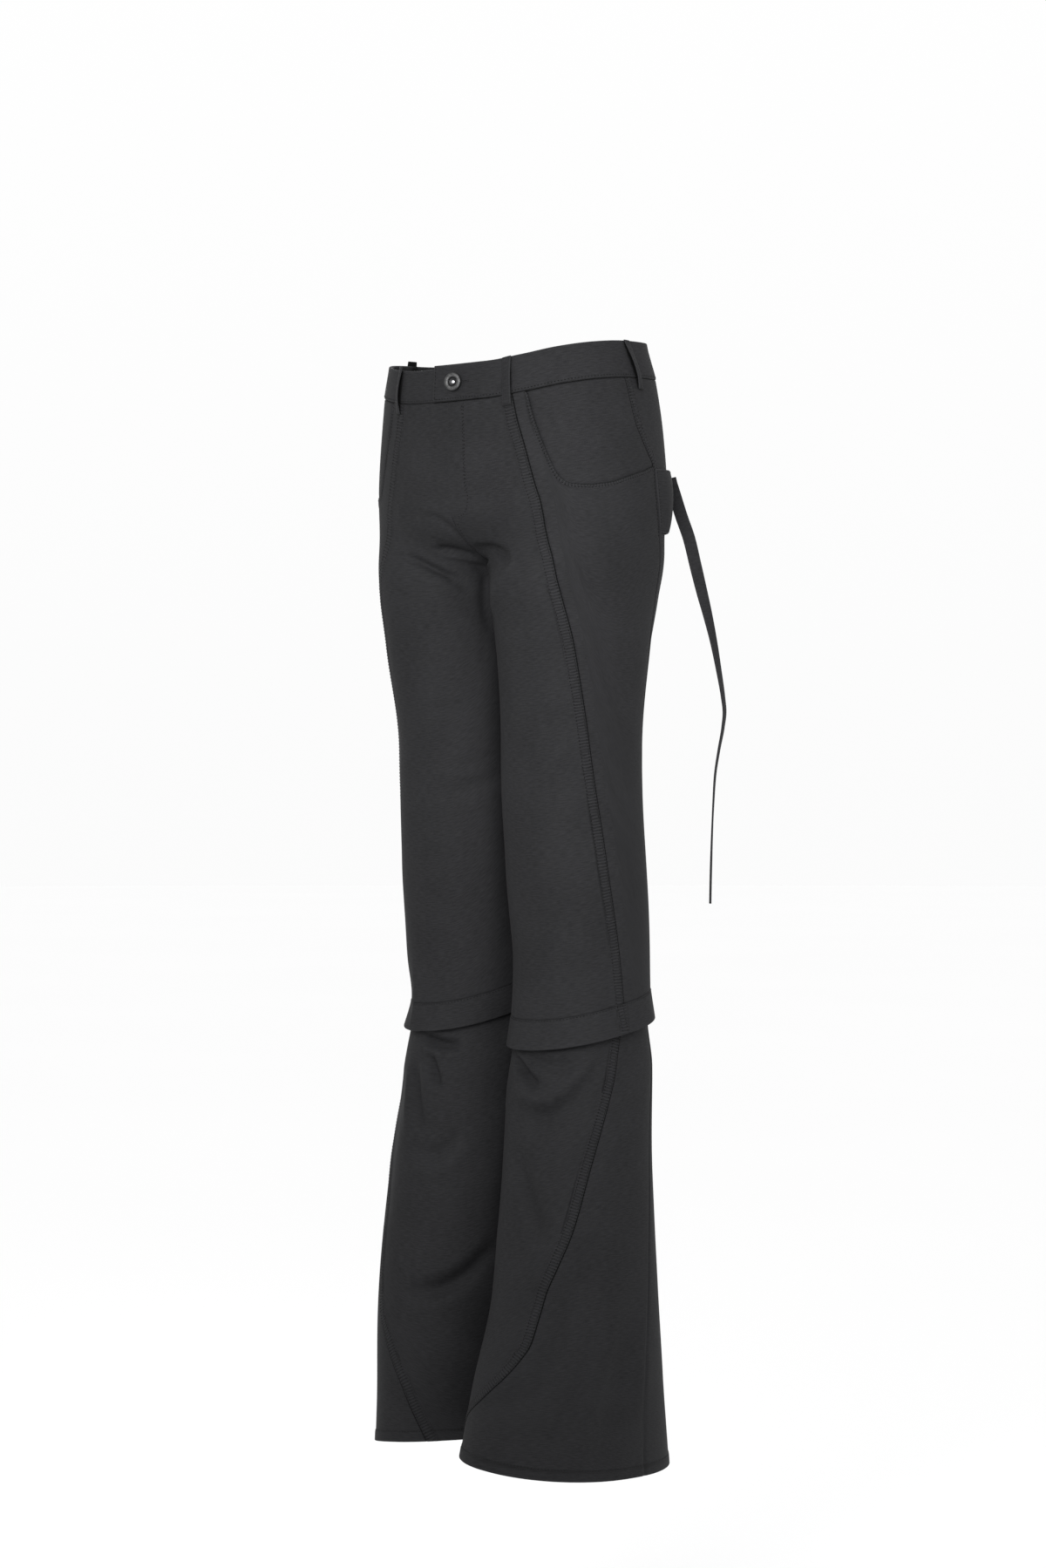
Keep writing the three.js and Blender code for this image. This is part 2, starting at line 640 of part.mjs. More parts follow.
/** A named mesh. */
function piece(name, geometry, material = clothMaterial) {
  const mesh = new THREE.Mesh(geometry, material);
  mesh.name = name;
  return mesh;
}

/** The heights of the knee hem's edges and of the leg's hem, for one leg. */
function edgesOf(legName) {
  const knee = KNEE_HEM[legName];
  const swing = (s) => Math.cos(Math.PI * (s - knee.lowAt));
  return {
    kneeTop: (s) => knee.top - knee.topSwing * swing(s),
    kneeBottom: (s) => knee.bottom - knee.bottomSwing * swing(s),
    hem: (s) =>
      TROUSER_HEM.height - TROUSER_HEM.foreAft * Math.sin(Math.PI * s) -
      TROUSER_HEM.outer * Math.cos(Math.PI * s),
  };
}

/** The pieces of the hip and thigh of one leg: front, side, pocket facing and back. */
function upperLeg(legName, side) {
  const { kneeTop } = edgesOf(legName);
  const spans = UPPER_SPANS;
  const waist = () => WAISTBAND.bottom;
  // Where a seam reaches the knee hem: a height on the hem, and then that height once more.
  const seamEnd = (rows) => {
    const place = through(rows, 'h', 's');
    const nearby = kneeTop(place(KNEE_HEM[legName].top));
    return kneeTop(place(nearby));
  };

  const frontSeam = joined(
    seamDown(FRONT_SEAM, WAISTBAND.bottom, CROTCH.end, spans.hip),
    seamDown(FRONT_SEAM, CROTCH.end, seamEnd(FRONT_SEAM), spans.thigh),
  );
  const frontPlace = through(FRONT_SEAM, 'h', 's');
  const sideBackPlace = through(SIDE_BACK_SEAM, 'h', 's');
  const sideBackTop = FACING_SEAM.at(-1).h;
  const sideBackEnd = seamEnd(SIDE_BACK_SEAM);
  const sideBackSeam = frontSeam.map((place) => {
    const down = (place.h - WAISTBAND.bottom) / (frontSeam.at(-1).h - WAISTBAND.bottom);
    const h = THREE.MathUtils.lerp(sideBackTop, sideBackEnd, down);
    return { s: sideBackPlace(h), h };
  });
  const facingSeam = seamDown(FACING_SEAM, WAISTBAND.bottom, sideBackTop, spans.facing);
  const inseam = (s) => straightDown(s, CROTCH.end, kneeTop(s), spans.thigh);
  const centreFront = joined(straightDown(-1, WAISTBAND.bottom, CROTCH.end, spans.hip), inseam(-1));
  const centreBack = joined(
    straightDown(1, WAISTBAND.bottom, CROTCH.end, spans.hip + spans.facing),
    inseam(1),
  );

  const mouthHeight = through(POCKET_MOUTH.map((row, i) => ({ ...row, i })), 'i', 'h');
  const mouthPlace = through(POCKET_MOUTH.map((row, i) => ({ ...row, i })), 'i', 's');
  const mouthSpans = spans.mouthDown + spans.mouthRound;
  const mouth = Array.from({ length: mouthSpans + 1 }, (_, i) => {
    const at = (i / mouthSpans) * (POCKET_MOUTH.length - 1);
    return { s: mouthPlace(at), h: mouthHeight(at) };
  });

  const front = patch(
    lineRound(-1, frontSeam[0].s, spans.front, waist),
    lineRound(-1, frontSeam.at(-1).s, spans.front, kneeTop),
    centreFront,
    frontSeam,
  );
  const sideTop = joined(lineRound(frontSeam[0].s, mouth[0].s, spans.strip, waist), mouth);
  const sidePanel = hung(
    sideTop,
    lineRound(frontSeam.at(-1).s, sideBackSeam.at(-1).s, spans.strip + mouthSpans, kneeTop),
    frontSeam,
    sideBackSeam,
    frontPlace,
    sideBackPlace,
  );
  const facing = patch(
    lineRound(mouth[0].s, facingSeam[0].s, spans.mouthRound, waist),
    mouth.slice(spans.mouthDown),
    mouth.slice(0, spans.mouthDown + 1),
    facingSeam,
  );
  const back = patch(
    lineRound(facingSeam[0].s, 1, spans.back, waist),
    lineRound(sideBackSeam.at(-1).s, 1, spans.back, kneeTop),
    joined(facingSeam, sideBackSeam),
    centreBack,
  );
  return [
    piece(`front_${legName}`, wallGeometry(laid(side, front), CLOTH_WALL, { side })),
    piece(`side_${legName}`, wallGeometry(laid(side, sidePanel), CLOTH_WALL, { side })),
    piece(`pocket_facing_${legName}`, wallGeometry(laid(side, facing), CLOTH_WALL, { side })),
    piece(`back_${legName}`, wallGeometry(laid(side, back), CLOTH_WALL, { side })),
  ];
}

/** The turned hem at the knee and the zip tape under it, both rings round the leg. */
function kneeJoin(legName, side) {
  const { kneeTop, kneeBottom } = edgesOf(legName);
  const turns = Array.from({ length: KNEE_SPANS.round }, (_, j) => -1 + (2 * j) / KNEE_SPANS.round);
  const ringGrid = (rows, highest, lowest, out) =>
    Array.from({ length: rows + 1 }, (_, i) => {
      const v = i / rows;
      return turns.map((s) => {
        const h = THREE.MathUtils.lerp(highest(s), lowest(s), v);
        return clothPoint(side, s, h, out(s, v));
      });
    });
  const flare = (s, v) => {
    const inner = ease((Math.abs(s) - CROTCH.inner) / (1 - CROTCH.inner));
    const share = THREE.MathUtils.lerp(1, KNEE_HEM_OFFSET.innerShare, inner);
    return KNEE_HEM_OFFSET.top + (KNEE_HEM_OFFSET.bottom - KNEE_HEM_OFFSET.top) * v * share;
  };
  const hem = ringGrid(KNEE_SPANS.hem, kneeTop, kneeBottom, flare);
  const tapeTop = (s) => kneeTop(s) - ZIP_TAPE.below;
  const tapeBottom = (s) => kneeBottom(s) + LOWER_LEG.tuckedUnder;
  const tape = ringGrid(KNEE_SPANS.tape, tapeTop, tapeBottom, (s, v) =>
    THREE.MathUtils.lerp(ZIP_TAPE.topOffset, -LOWER_LEG.pinch, v),
  );
  return [
    piece(`knee_hem_${legName}`, wallGeometry(hem, KNEE_HEM_WALL, { ring: true, side })),
    piece(`knee_zip_${legName}`, wallGeometry(tape, ZIP_TAPE.wall, { ring: true, side }), tapeMaterial),
  ];
}

/** The zip-off lower leg: a shin piece and a calf piece that meet on the winding seam. */
function lowerLeg(legName, side) {
  const { kneeBottom, hem } = edgesOf(legName);
  const { rows } = LOWER_SPANS;
  const top = (s) => kneeBottom(s) + LOWER_LEG.tuckedUnder;
  const seamPlace = through(WINDING_SEAM[legName], 'h', 's');
  const seamTop = top(seamPlace(KNEE_HEM[legName].bottom));
  const seamLow = hem(seamPlace(TROUSER_HEM.height));
  const seam = seamDown(WINDING_SEAM[legName], seamTop, seamLow, rows);
  const inseam = (s) => straightDown(s, top(s), hem(s), rows);
  const shin = patch(
    lineRound(-1, seam[0].s, LOWER_SPANS.shin, top),
    lineRound(-1, seam.at(-1).s, LOWER_SPANS.shin, hem),
    inseam(-1),
    seam,
  );
  const calf = patch(
    lineRound(seam[0].s, 1, LOWER_SPANS.calf, top),
    lineRound(seam.at(-1).s, 1, LOWER_SPANS.calf, hem),
    seam,
    inseam(1),
  );
  const pinched = (s, h) => -LOWER_LEG.pinch * (1 - ease((kneeBottom(s) - h) / LOWER_LEG.pinchFade));
  return [
    piece(`lower_shin_${legName}`, wallGeometry(laid(side, shin, pinched), CLOTH_WALL, { side })),
    piece(`lower_calf_${legName}`, wallGeometry(laid(side, calf, pinched), CLOTH_WALL, { side })),
  ];
}

/** The waistband: one strip whose buttoned tab laps over its other end at centre front. */
function waistband() {
  const lap = (BAND_WALL + SEAM_GAP) / 2;
  const grid = Array.from({ length: BAND_SPANS.high + 1 }, (_, i) => {
    const h = THREE.MathUtils.lerp(WAISTBAND.top, WAISTBAND.bottom, i / BAND_SPANS.high);
    return Array.from({ length: BAND_SPANS.round + 1 }, (__, j) => {
      const run = THREE.MathUtils.lerp(WAISTBAND.tabEnd, WAISTBAND.underEnd, j / BAND_SPANS.round);
      const wrapped = run > 180 ? run - 360 : run;
      const side = wrapped < 0 ? -1 : 1;
      const s = Math.abs(wrapped) / 90 - 1;
      const span = WAISTBAND.easeEnd - WAISTBAND.overlapEnd;
      const over = 1 - ease((run - WAISTBAND.overlapEnd) / span);
      const under = 1 - ease((360 - WAISTBAND.overlapEnd - run) / span);
      return clothPoint(side, s, h, lap * (over - under));
    });
  });
  return piece('waistband', wallGeometry(grid, BAND_WALL));
}

/** A belt loop: a narrow strip over the waistband, bowed out in the middle. */
function beltLoop({ name, side, s, lean }) {
  const grid = heights(BELT_LOOP.top, BELT_LOOP.bottom, BELT_LOOP.rows).map((h, i) => {
    const v = i / BELT_LOOP.rows;
    const middle = s + lean * (v - 0.5);
    const bow = BELT_LOOP.bow * Math.sin(Math.PI * v);
    const low = ease((v - BELT_LOOP.lowFrom) / (1 - BELT_LOOP.lowFrom));
    const out = THREE.MathUtils.lerp(BELT_LOOP.standOff, BELT_LOOP.lowOffset, low) + bow;
    return [-0.5, 0, 0.5].map((across) => {
      const place = middle + (across * BELT_LOOP.width) / breadth(h);
      const { point, normal } = clothPointAcross(side, place, h, out);
      return { point, normal };
    });
  });
  return piece(name, wallGeometry(grid, BELT_LOOP.wall));
}

/** A cloth point that may lie past centre front or centre back, on the other half. */
function clothPointAcross(side, s, h, out) {
  if (Math.abs(s) <= 1) return clothPoint(side, s, h, out);
  return clothPoint(-side, 2 * Math.sign(s) - s, h, out);
}

/** The waist button: a dished metal ring with an eye in the middle, on a short shank. */
function waistButton() {
  const { radius, thickness, rim, dishRadius, eyeRadius, segments, shank, shankRadius } = BUTTON;
  const profile = [
    [0, -shank],
    [shankRadius, -shank],
    [shankRadius, 0],
    [radius - rim / 2, 0],
    [radius, rim / 2],
    [radius, thickness - rim],
    [radius - rim, thickness],
    [dishRadius, thickness],
    [dishRadius - rim, thickness - rim],
    [eyeRadius + rim / 2, thickness - rim],
    [eyeRadius, thickness - rim / 2],
    [0, thickness - rim / 2],
  ].map(([r, z]) => new THREE.Vector2(r, z));
  const geometry = new THREE.LatheGeometry(profile, segments);
  const lap = (BAND_WALL + SEAM_GAP) / 2;
  const { point, normal } = clothPoint(1, BUTTON.s, 0, lap + BAND_WALL / 2 + SEAM_GAP + BUTTON.standOff);
  normal.applyAxisAngle(new THREE.Vector3(0, 0, 1), THREE.MathUtils.degToRad(BUTTON.turn));
  const mesh = piece('waist_button', geometry, metalMaterial);
  mesh.quaternion.setFromUnitVectors(new THREE.Vector3(0, 1, 0), normal);
  mesh.position.copy(point);
  return mesh;
}

/** The gusset patch behind the side seam: sewn flat at its edges, standing off in the middle. */
function gusset(legName, side) {
  const sideBackPlace = through(SIDE_BACK_SEAM, 'h', 's');
  const grid = Array.from({ length: GUSSET.rows + 1 }, (_, i) => {
    const v = i / GUSSET.rows;
    const h = THREE.MathUtils.lerp(GUSSET.top, GUSSET.bottom, v);
    const front = sideBackPlace(h) + GUSSET.behindSeam;
    return Array.from({ length: GUSSET.columns + 1 }, (__, j) => {
      const u = j / GUSSET.columns;
      const s = THREE.MathUtils.lerp(front, GUSSET.sBack, u);
      const swell = Math.sin(Math.PI * u) * Math.sqrt(Math.max(0, Math.sin(Math.PI * v)));
      return clothPoint(side, s, h, CLOTH_WALL + GUSSET.lift + GUSSET.bulge * swell);
    });
  });
  return piece(`gusset_${legName}`, wallGeometry(grid, CLOTH_WALL));
}

/** The loose tie that hangs behind the left hip: a flat tape that turns edge-on on its way down. */
function tie() {
  const azimuth = THREE.MathUtils.degToRad(TIE.azimuth);
  const outward = new THREE.Vector3(Math.cos(azimuth), Math.sin(azimuth), 0);
  const rearward = new THREE.Vector3(-Math.sin(azimuth), Math.cos(azimuth), 0);
  const rows = TIE_ROWS.map((row, i) => ({ ...row, i }));
  const out = through(rows, 'i', 'out');
  const height = through(rows, 'i', 'z');
  const turn = through(rows, 'i', 'turn');
  const centre = (at) =>
    new THREE.Vector3(0, 0, height(at))
      .addScaledVector(outward, out(at))
      .addScaledVector(rearward, TIE.depth);
  const corners = [];
  for (let i = 0; i <= TIE.steps; i += 1) {
    const at = (i / TIE.steps) * (rows.length - 1);
    const along = centre(at + 0.01).sub(centre(at - 0.01)).normalize();
    const angle = THREE.MathUtils.degToRad(turn(at));
    const across = outward.clone().multiplyScalar(Math.cos(angle)).addScaledVector(rearward, Math.sin(angle));
    across.addScaledVector(along, -across.dot(along)).normalize();
    const face = new THREE.Vector3().crossVectors(along, across);
    for (let k = 0; k < TIE.sides; k += 1) {
      const round = (2 * Math.PI * (k + 0.5)) / TIE.sides;
      const wide = clamp(Math.cos(round) * TIE.squareWide, -1, 1) * (TIE.width / 2);
      const thick = clamp(Math.sin(round) * TIE.squareThick, -1, 1) * (TIE.thickness / 2);
      corners.push(centre(at).addScaledVector(across, wide).addScaledVector(face, thick));
    }
  }
  const faces = [];
  for (let i = 0; i < TIE.steps; i += 1) {
    for (let k = 0; k < TIE.sides; k += 1) {
      const next = (k + 1) % TIE.sides;
      const a = i * TIE.sides + k;
      const b = i * TIE.sides + next;
      faces.push([a, b, b + TIE.sides], [a, b + TIE.sides, a + TIE.sides]);
    }
  }
  const last = TIE.steps * TIE.sides;
  for (let k = 1; k < TIE.sides - 1; k += 1) {
    faces.push([0, k + 1, k], [last, last + k, last + k + 1]);
  }
  return piece('hip_tie', closedGeometry(corners, faces));
}

// ---------------------------------------------------------------- the trousers

const trousers = new THREE.Group();
trousers.add(waistband(), waistButton(), tie());
trousers.add(...BELT_LOOPS.map(beltLoop));
for (const [legName, side] of [['left', 1], ['right', -1]]) {
  trousers.add(
    ...upperLeg(legName, side),
    gusset(legName, side),
    ...kneeJoin(legName, side),
    ...lowerLeg(legName, side),
  );
}

export default trousers;
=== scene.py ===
"""Convertible trousers: low-rise, flared, with zip-off lower legs under a turned knee hem.

The tables below are in millimetres and describe one smooth worn form. A place on it is named by
half (+1 the wearer's left, -1 the right), s (-1 centre front or front of the inseam, 0 the outer
side, +1 centre back or back of the inseam) and h, its height over the middle of the waistband.
Every panel is a thin shell on that form, pushed in and out by its folds, seams and hems.
Lengths are in millimetres and ways round the waist in degrees, unless a docstring says otherwise.
"""

import logging
import math
from dataclasses import dataclass, field
from enum import Enum
from typing import Callable, Iterable, Sequence, Union

import bpy
import numpy as np
from mathutils import Matrix, Vector
from mathutils.bvhtree import BVHTree


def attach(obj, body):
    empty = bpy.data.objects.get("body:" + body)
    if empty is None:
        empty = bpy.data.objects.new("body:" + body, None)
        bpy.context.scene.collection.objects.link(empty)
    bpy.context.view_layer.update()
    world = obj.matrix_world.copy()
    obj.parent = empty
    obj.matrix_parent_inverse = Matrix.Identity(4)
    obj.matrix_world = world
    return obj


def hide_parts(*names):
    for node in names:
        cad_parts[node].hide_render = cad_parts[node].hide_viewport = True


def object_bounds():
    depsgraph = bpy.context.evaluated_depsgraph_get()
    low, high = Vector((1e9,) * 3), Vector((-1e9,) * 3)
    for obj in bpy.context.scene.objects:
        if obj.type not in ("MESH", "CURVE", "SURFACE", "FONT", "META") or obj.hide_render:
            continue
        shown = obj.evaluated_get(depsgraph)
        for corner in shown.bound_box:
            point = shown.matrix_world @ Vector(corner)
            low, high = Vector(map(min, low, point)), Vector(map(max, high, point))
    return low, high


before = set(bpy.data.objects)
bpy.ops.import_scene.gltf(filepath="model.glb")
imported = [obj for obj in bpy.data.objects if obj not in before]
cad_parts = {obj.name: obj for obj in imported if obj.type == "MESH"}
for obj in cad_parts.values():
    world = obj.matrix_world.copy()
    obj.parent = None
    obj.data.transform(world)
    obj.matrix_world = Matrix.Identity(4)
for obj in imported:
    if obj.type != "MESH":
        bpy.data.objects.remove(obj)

CAD_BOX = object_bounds()
MM = 0.001
Array = np.ndarray

logging.basicConfig(level=logging.INFO, format="%(name)s: %(message)s")
log = logging.getLogger("trousers")


# ---- shader maths


class Link:
    """A shader socket that takes part in plain arithmetic."""

    def __init__(self, shader: "Shader", socket: bpy.types.NodeSocket) -> None:
        """Keeps the socket and the shader that it belongs to."""
        self.shader = shader
        self.socket = socket

    def _math(self, operation: str, *values: "Value") -> "Link":
        """One Math node over values."""
        return self.shader.add("Math", {"operation": operation}, dict(enumerate(values)))

    def __add__(self, other: "Value") -> "Link":
        """self + other."""
        return self._math("ADD", self, other)

    def __sub__(self, other: "Value") -> "Link":
        """self - other."""
        return self._math("SUBTRACT", self, other)

    def __rsub__(self, other: "Value") -> "Link":
        """other - self."""
        return self._math("SUBTRACT", other, self)

    def __mul__(self, other: "Value") -> "Link":
        """self * other."""
        return self._math("MULTIPLY", self, other)

    __radd__ = __add__
    __rmul__ = __mul__

    def sine(self) -> "Link":
        """The sine of self, in radians."""
        return self._math("SINE", self)

    def step(self, low: float, high: float) -> "Link":
        """A soft step of self from 0 at low to 1 at high; low may be the larger.

        Args:
            low: where the step is 0.
            high: where the step is 1.

        Returns:
            The step, from 0 to 1.
        """
        settings = {"interpolation_type": "SMOOTHSTEP"}
        return self.shader.add("MapRange", settings, {"Value": self, "From Min": low, "From Max": high})


Value = Union[float, Link]


class Shader:
    """Builds one material's nodes."""

    def __init__(self, name: str) -> None:
        """Starts an empty material of that name.

        Args:
            name: the material's name.
        """
        self.material = bpy.data.materials.new(name)
        self.material.use_nodes = True
        self.tree = self.material.node_tree
        self.tree.nodes.clear()

    def add(self, kind: str, settings: dict, sockets: dict, output: Union[int, str] = 0) -> Link:
        """Adds a node.

        Args:
            kind: the node's type without its ShaderNode prefix.
            settings: its own properties, set first.
            sockets: values or links for its inputs, by name or number.
            output: the output socket to hand on.

        Returns:
            The chosen output.
        """
        node = self.tree.nodes.new("ShaderNode" + kind)
        for key, value in settings.items():
            setattr(node, key, value)
        for key, value in sockets.items():
            if isinstance(value, Link):
                self.tree.links.new(value.socket, node.inputs[key])
            else:
                node.inputs[key].default_value = value
        return Link(self, node.outputs[output])

    def attribute(self, name: str) -> Link:
        """A vector that each vertex carries under that name."""
        return self.add("Attribute", {"attribute_name": name}, {}, "Vector")

    def parts(self, vector: Link) -> tuple[Link, Link, Link]:
        """The three parts of a vector."""
        first = self.add("SeparateXYZ", {}, {0: vector})
        return tuple(Link(self, out) for out in first.socket.node.outputs)

    def stretched(self, vector: Link, scale: Sequence[float]) -> Link:
        """A vector times a scale for each axis."""
        return self.add("VectorMath", {"operation": "MULTIPLY"}, {0: vector, 1: tuple(scale)})

    def noise(self, vector: Link, scale: float, detail: float = 2.0) -> Link:
        """Soft noise from 0 to 1 over a vector."""
        return self.add("TexNoise", {}, {"Vector": vector, "Scale": scale, "Detail": detail})

    def blend(self, factor: Value, first: object, second: object) -> Link:
        """A mix of two colours.

        Args:
            factor: how much of the second.
            first: a colour or a link.
            second: a colour or a link.

        Returns:
            The mixed colour.
        """
        settings = {"data_type": "RGBA", "blend_type": "MIX", "clamp_factor": True}
        return self.add("Mix", settings, {0: factor, 6: first, 7: second}, 2)

    def bump(self, height: Link, distance: float) -> Link:
        """A normal bent by a height in units of distance metres."""
        return self.add("Bump", {}, {"Height": height, "Distance": distance, "Strength": 1.0}, "Normal")

    def surface(self, constants: dict, **varying: Link) -> bpy.types.Material:
        """Ends the material in a Principled shader.

        Args:
            constants: values set straight on the shader's sockets.
            varying: links for base_color, roughness, metallic, alpha and normal.

        Returns:
            The finished material.
        """
        sockets = dict(constants)
        sockets.update({key.replace("_", " ").title(): link for key, link in varying.items()})
        shade = self.add("BsdfPrincipled", {}, sockets, "BSDF")
        self.add_output(shade)
        return self.material

    def add_output(self, shade: Link) -> None:
        """Joins a shader to the material's output."""
        node = self.tree.nodes.new("ShaderNodeOutputMaterial")
        self.tree.links.new(shade.socket, node.inputs["Surface"])


# ---- finishes


def grey(value: float, blue: float = 0.0) -> tuple[float, float, float, float]:
    """A linear grey of that lightness, with a share more blue."""
    return (value, value, value * (1 + blue), 1.0)


@dataclass(frozen=True)
class Twill:
    """Charcoal stretch twill: a fine rib across the cloth, with slubs and a low sheen."""

    shade: float = 0.0137
    blue: float = 0.07
    slub_length: float = 7.0
    slub_height: float = 0.95
    rib: float = 0.62
    diagonal: float = 0.9
    roughness: float = 0.74
    pucker_pitch: float = 2.8

    def material(self, name: str) -> bpy.types.Material:
        """Builds the cloth.

        Args:
            name: the material's name.

        Returns:
            The material, which reads the weave, the seam's puckers and painted shade, and the wear that each
            vertex carries.
        """
        shader = Shader(name)
        weave = shader.attribute("weave")
        x, y, _ = shader.parts(weave)
        slub_size = (1 / self.slub_length, 1 / self.slub_height, 1)
        slubs = shader.noise(shader.stretched(weave, slub_size), 1.0, 3.0)
        threads = shader.noise(shader.stretched(weave, (0.7, 2.2, 1)), 1.0, 1.0)
        mottle = shader.noise(weave, 0.022, 3.0)
        rib = (y * (math.tau / self.rib)).sine()
        line = ((x + y) * (math.tau / self.diagonal)).sine()
        # The seam attribute's third part is painted shade from seam hollows, sewn rows and belt loops.
        band, along, gap = shader.parts(shader.attribute("seam"))
        wear = shader.parts(shader.attribute("wear"))[0]
        wander = shader.noise(shader.stretched(weave, (0.06, 0.06, 1)), 1.0)
        ripple = (along * (math.tau / self.pucker_pitch) + wander * 6.0).sine() * band
        # The puckers' ripple also paints light on their crests and shade in their troughs into the colour,
        # beside its real bump.
        tone = slubs.step(0.3, 0.7) * 0.38 + threads * 0.2 + mottle.step(0.3, 0.7) * 0.16 + ripple * 0.24
        dark = grey(self.shade * 0.5, self.blue)
        light = grey(self.shade * 1.6, self.blue)
        colour = shader.blend(tone + 0.12, dark, light)
        colour = shader.blend(wear * 0.32, colour, grey(self.shade * 2.0, self.blue))
        # Painted shade: seam hollows, sewn rows and the cloth under and inside the belt loops turn near
        # black.
        colour = shader.blend(gap * 0.85, colour, grey(self.shade * 0.2))
        height = slubs * 0.30 + threads * 0.16 + rib * 0.05 + line * 0.03 + ripple * 0.75
        rough = mottle.step(0.2, 0.8) * 0.10 + (self.roughness - 0.05)
        return shader.surface(
            {"Specular IOR Level": 0.07, "Sheen Weight": 0.008, "Sheen Roughness": 0.5},
            base_color=colour,
            roughness=rough,
            normal=shader.bump(height, 0.00028),
        )


@dataclass(frozen=True)
class SewingThread:
    """Tonal polyester sewing thread, twisted, with a faint gloss."""

    shade: float = 0.0035
    twist: float = 0.55

    def material(self, name: str) -> bpy.types.Material:
        """Builds the thread; weave holds the way along it and round it in millimetres.

        Args:
            name: the material's name.

        Returns:
            The material.
        """
        shader = Shader(name)
        weave = shader.attribute("weave")
        x, y, _ = shader.parts(weave)
        ply = ((x + y * 0.8) * (math.tau / self.twist)).sine()
        fibre = shader.noise(weave, 3.0, 2.0)
        colour = shader.blend(ply * 0.3 + fibre * 0.4 + 0.1, grey(self.shade * 0.7), grey(self.shade * 1.5))
        return shader.surface(
            {"Specular IOR Level": 0.12},
            base_color=colour,
            roughness=fibre * 0.2 + 0.5,
            normal=shader.bump(ply, 0.00008),
        )


@dataclass(frozen=True)
class PlatedMetal:
    """Plated metal with fine scratches, and worn a little brighter on its high edges."""

    shade: float = 0.042
    worn: float = 0.095
    roughness: float = 0.5

    def material(self, name: str) -> bpy.types.Material:
        """Builds the metal; wear is 1 on the edges that hands polish.

        Args:
            name: the material's name.

        Returns:
            The material.
        """
        shader = Shader(name)
        weave = shader.attribute("weave")
        wear = shader.parts(shader.attribute("wear"))[0]
        scratches = shader.noise(shader.stretched(weave, (0.35, 5.0, 1)), 1.0, 3.0)
        cloud = shader.noise(weave, 0.35, 3.0)
        rubbed = wear * cloud.step(0.25, 0.65)
        colour = shader.blend(rubbed, grey(self.shade, 0.03), grey(self.worn))
        rough = scratches * 0.18 + cloud * 0.1 + (self.roughness - 0.14)
        return shader.surface(
            {"Metallic": 1.0},
            base_color=colour,
            roughness=rough,
            normal=shader.bump(scratches, 0.00003),
        )


@dataclass(frozen=True)
class ZipTapeWeave:
    """Dense black herringbone tape."""

    shade: float = 0.014
    rib: float = 0.9

    def material(self, name: str) -> bpy.types.Material:
        """Builds the tape.

        Args:
            name: the material's name.

        Returns:
            The material.
        """
        shader = Shader(name)
        weave = shader.attribute("weave")
        x, y, _ = shader.parts(weave)
        zigzag = ((y * 0.8).sine() * 0.6 + x * (math.tau / self.rib)).sine()
        fuzz = shader.noise(weave, 1.4, 2.0)
        colour = shader.blend(zigzag * 0.3 + fuzz * 0.5, grey(self.shade * 0.6), grey(self.shade * 1.6))
        return shader.surface(
            {"Specular IOR Level": 0.2},
            base_color=colour,
            roughness=fuzz * 0.15 + 0.75,
            normal=shader.bump(zigzag, 0.00012),
        )


# ---- the worn form


class Half(Enum):
    """The wearer's left or right half."""

    LEFT = 1
    RIGHT = -1

    @property
    def word(self) -> str:
        """The half's name in piece names."""
        return self.name.lower()


def ease(t: Array) -> Array:
    """A soft step from 0 to 1 while t goes from 0 to 1."""
    u = np.clip(t, 0.0, 1.0)
    return u * u * (3 - 2 * u)


def lerp(a: Array, b: Array, t: Array) -> Array:
    """The value a share t of the way from a to b."""
    return a + (b - a) * t


def signed_power(value: Array, power: float) -> Array:
    """A power that keeps the sign of its base, for rounded-square sections."""
    return np.sign(value) * np.abs(value) ** power


class SmoothCurve:
    """A smooth curve through points that never overshoots them, straight beyond its ends."""

    def __init__(self, xs: Sequence[float], ys: Sequence[float]) -> None:
        """Works out the slopes at the points.

        Args:
            xs: where the points are, in rising order.
            ys: the values there.
        """
        order = np.argsort(xs)
        self.xs = np.asarray(xs, float)[order]
        self.ys = np.asarray(ys, float)[order]
        self.gaps = np.diff(self.xs)
        rises = np.diff(self.ys) / self.gaps
        slopes = np.empty_like(self.ys)
        slopes[0], slopes[-1] = rises[0], rises[-1]
        for i in range(1, len(rises)):
            before, after = rises[i - 1], rises[i]
            w1 = 2 * self.gaps[i] + self.gaps[i - 1]
            w2 = self.gaps[i] + 2 * self.gaps[i - 1]
            slopes[i] = 0 if before * after <= 0 else (w1 + w2) / (w1 / before + w2 / after)
        self.slopes = slopes

    def __call__(self, at: Array) -> Array:
        """The curve's value at each place.

        Args:
            at: the places.

        Returns:
            The values.
        """
        at = np.asarray(at, float)
        i = np.clip(np.searchsorted(self.xs, at) - 1, 0, len(self.gaps) - 1)
        gap = self.gaps[i]
        t = np.clip((at - self.xs[i]) / gap, 0.0, 1.0)
        beyond = at - np.clip(at, self.xs[0], self.xs[-1])
        t2, t3 = t * t, t * t * t
        return (
            self.ys[i] * (2 * t3 - 3 * t2 + 1)
            + self.slopes[i] * gap * (t3 - 2 * t2 + t)
            + self.ys[i + 1] * (3 * t2 - 2 * t3)
            + self.slopes[i + 1] * gap * (t3 - t2)
            + beyond * np.where(at < self.xs[0], self.slopes[0], self.slopes[-1])
        )


def column(rows: Sequence[tuple], index: int, over: int = 0) -> SmoothCurve:
    """A smooth curve through one column of a table over another."""
    return SmoothCurve([row[over] for row in rows], [row[index] for row in rows])


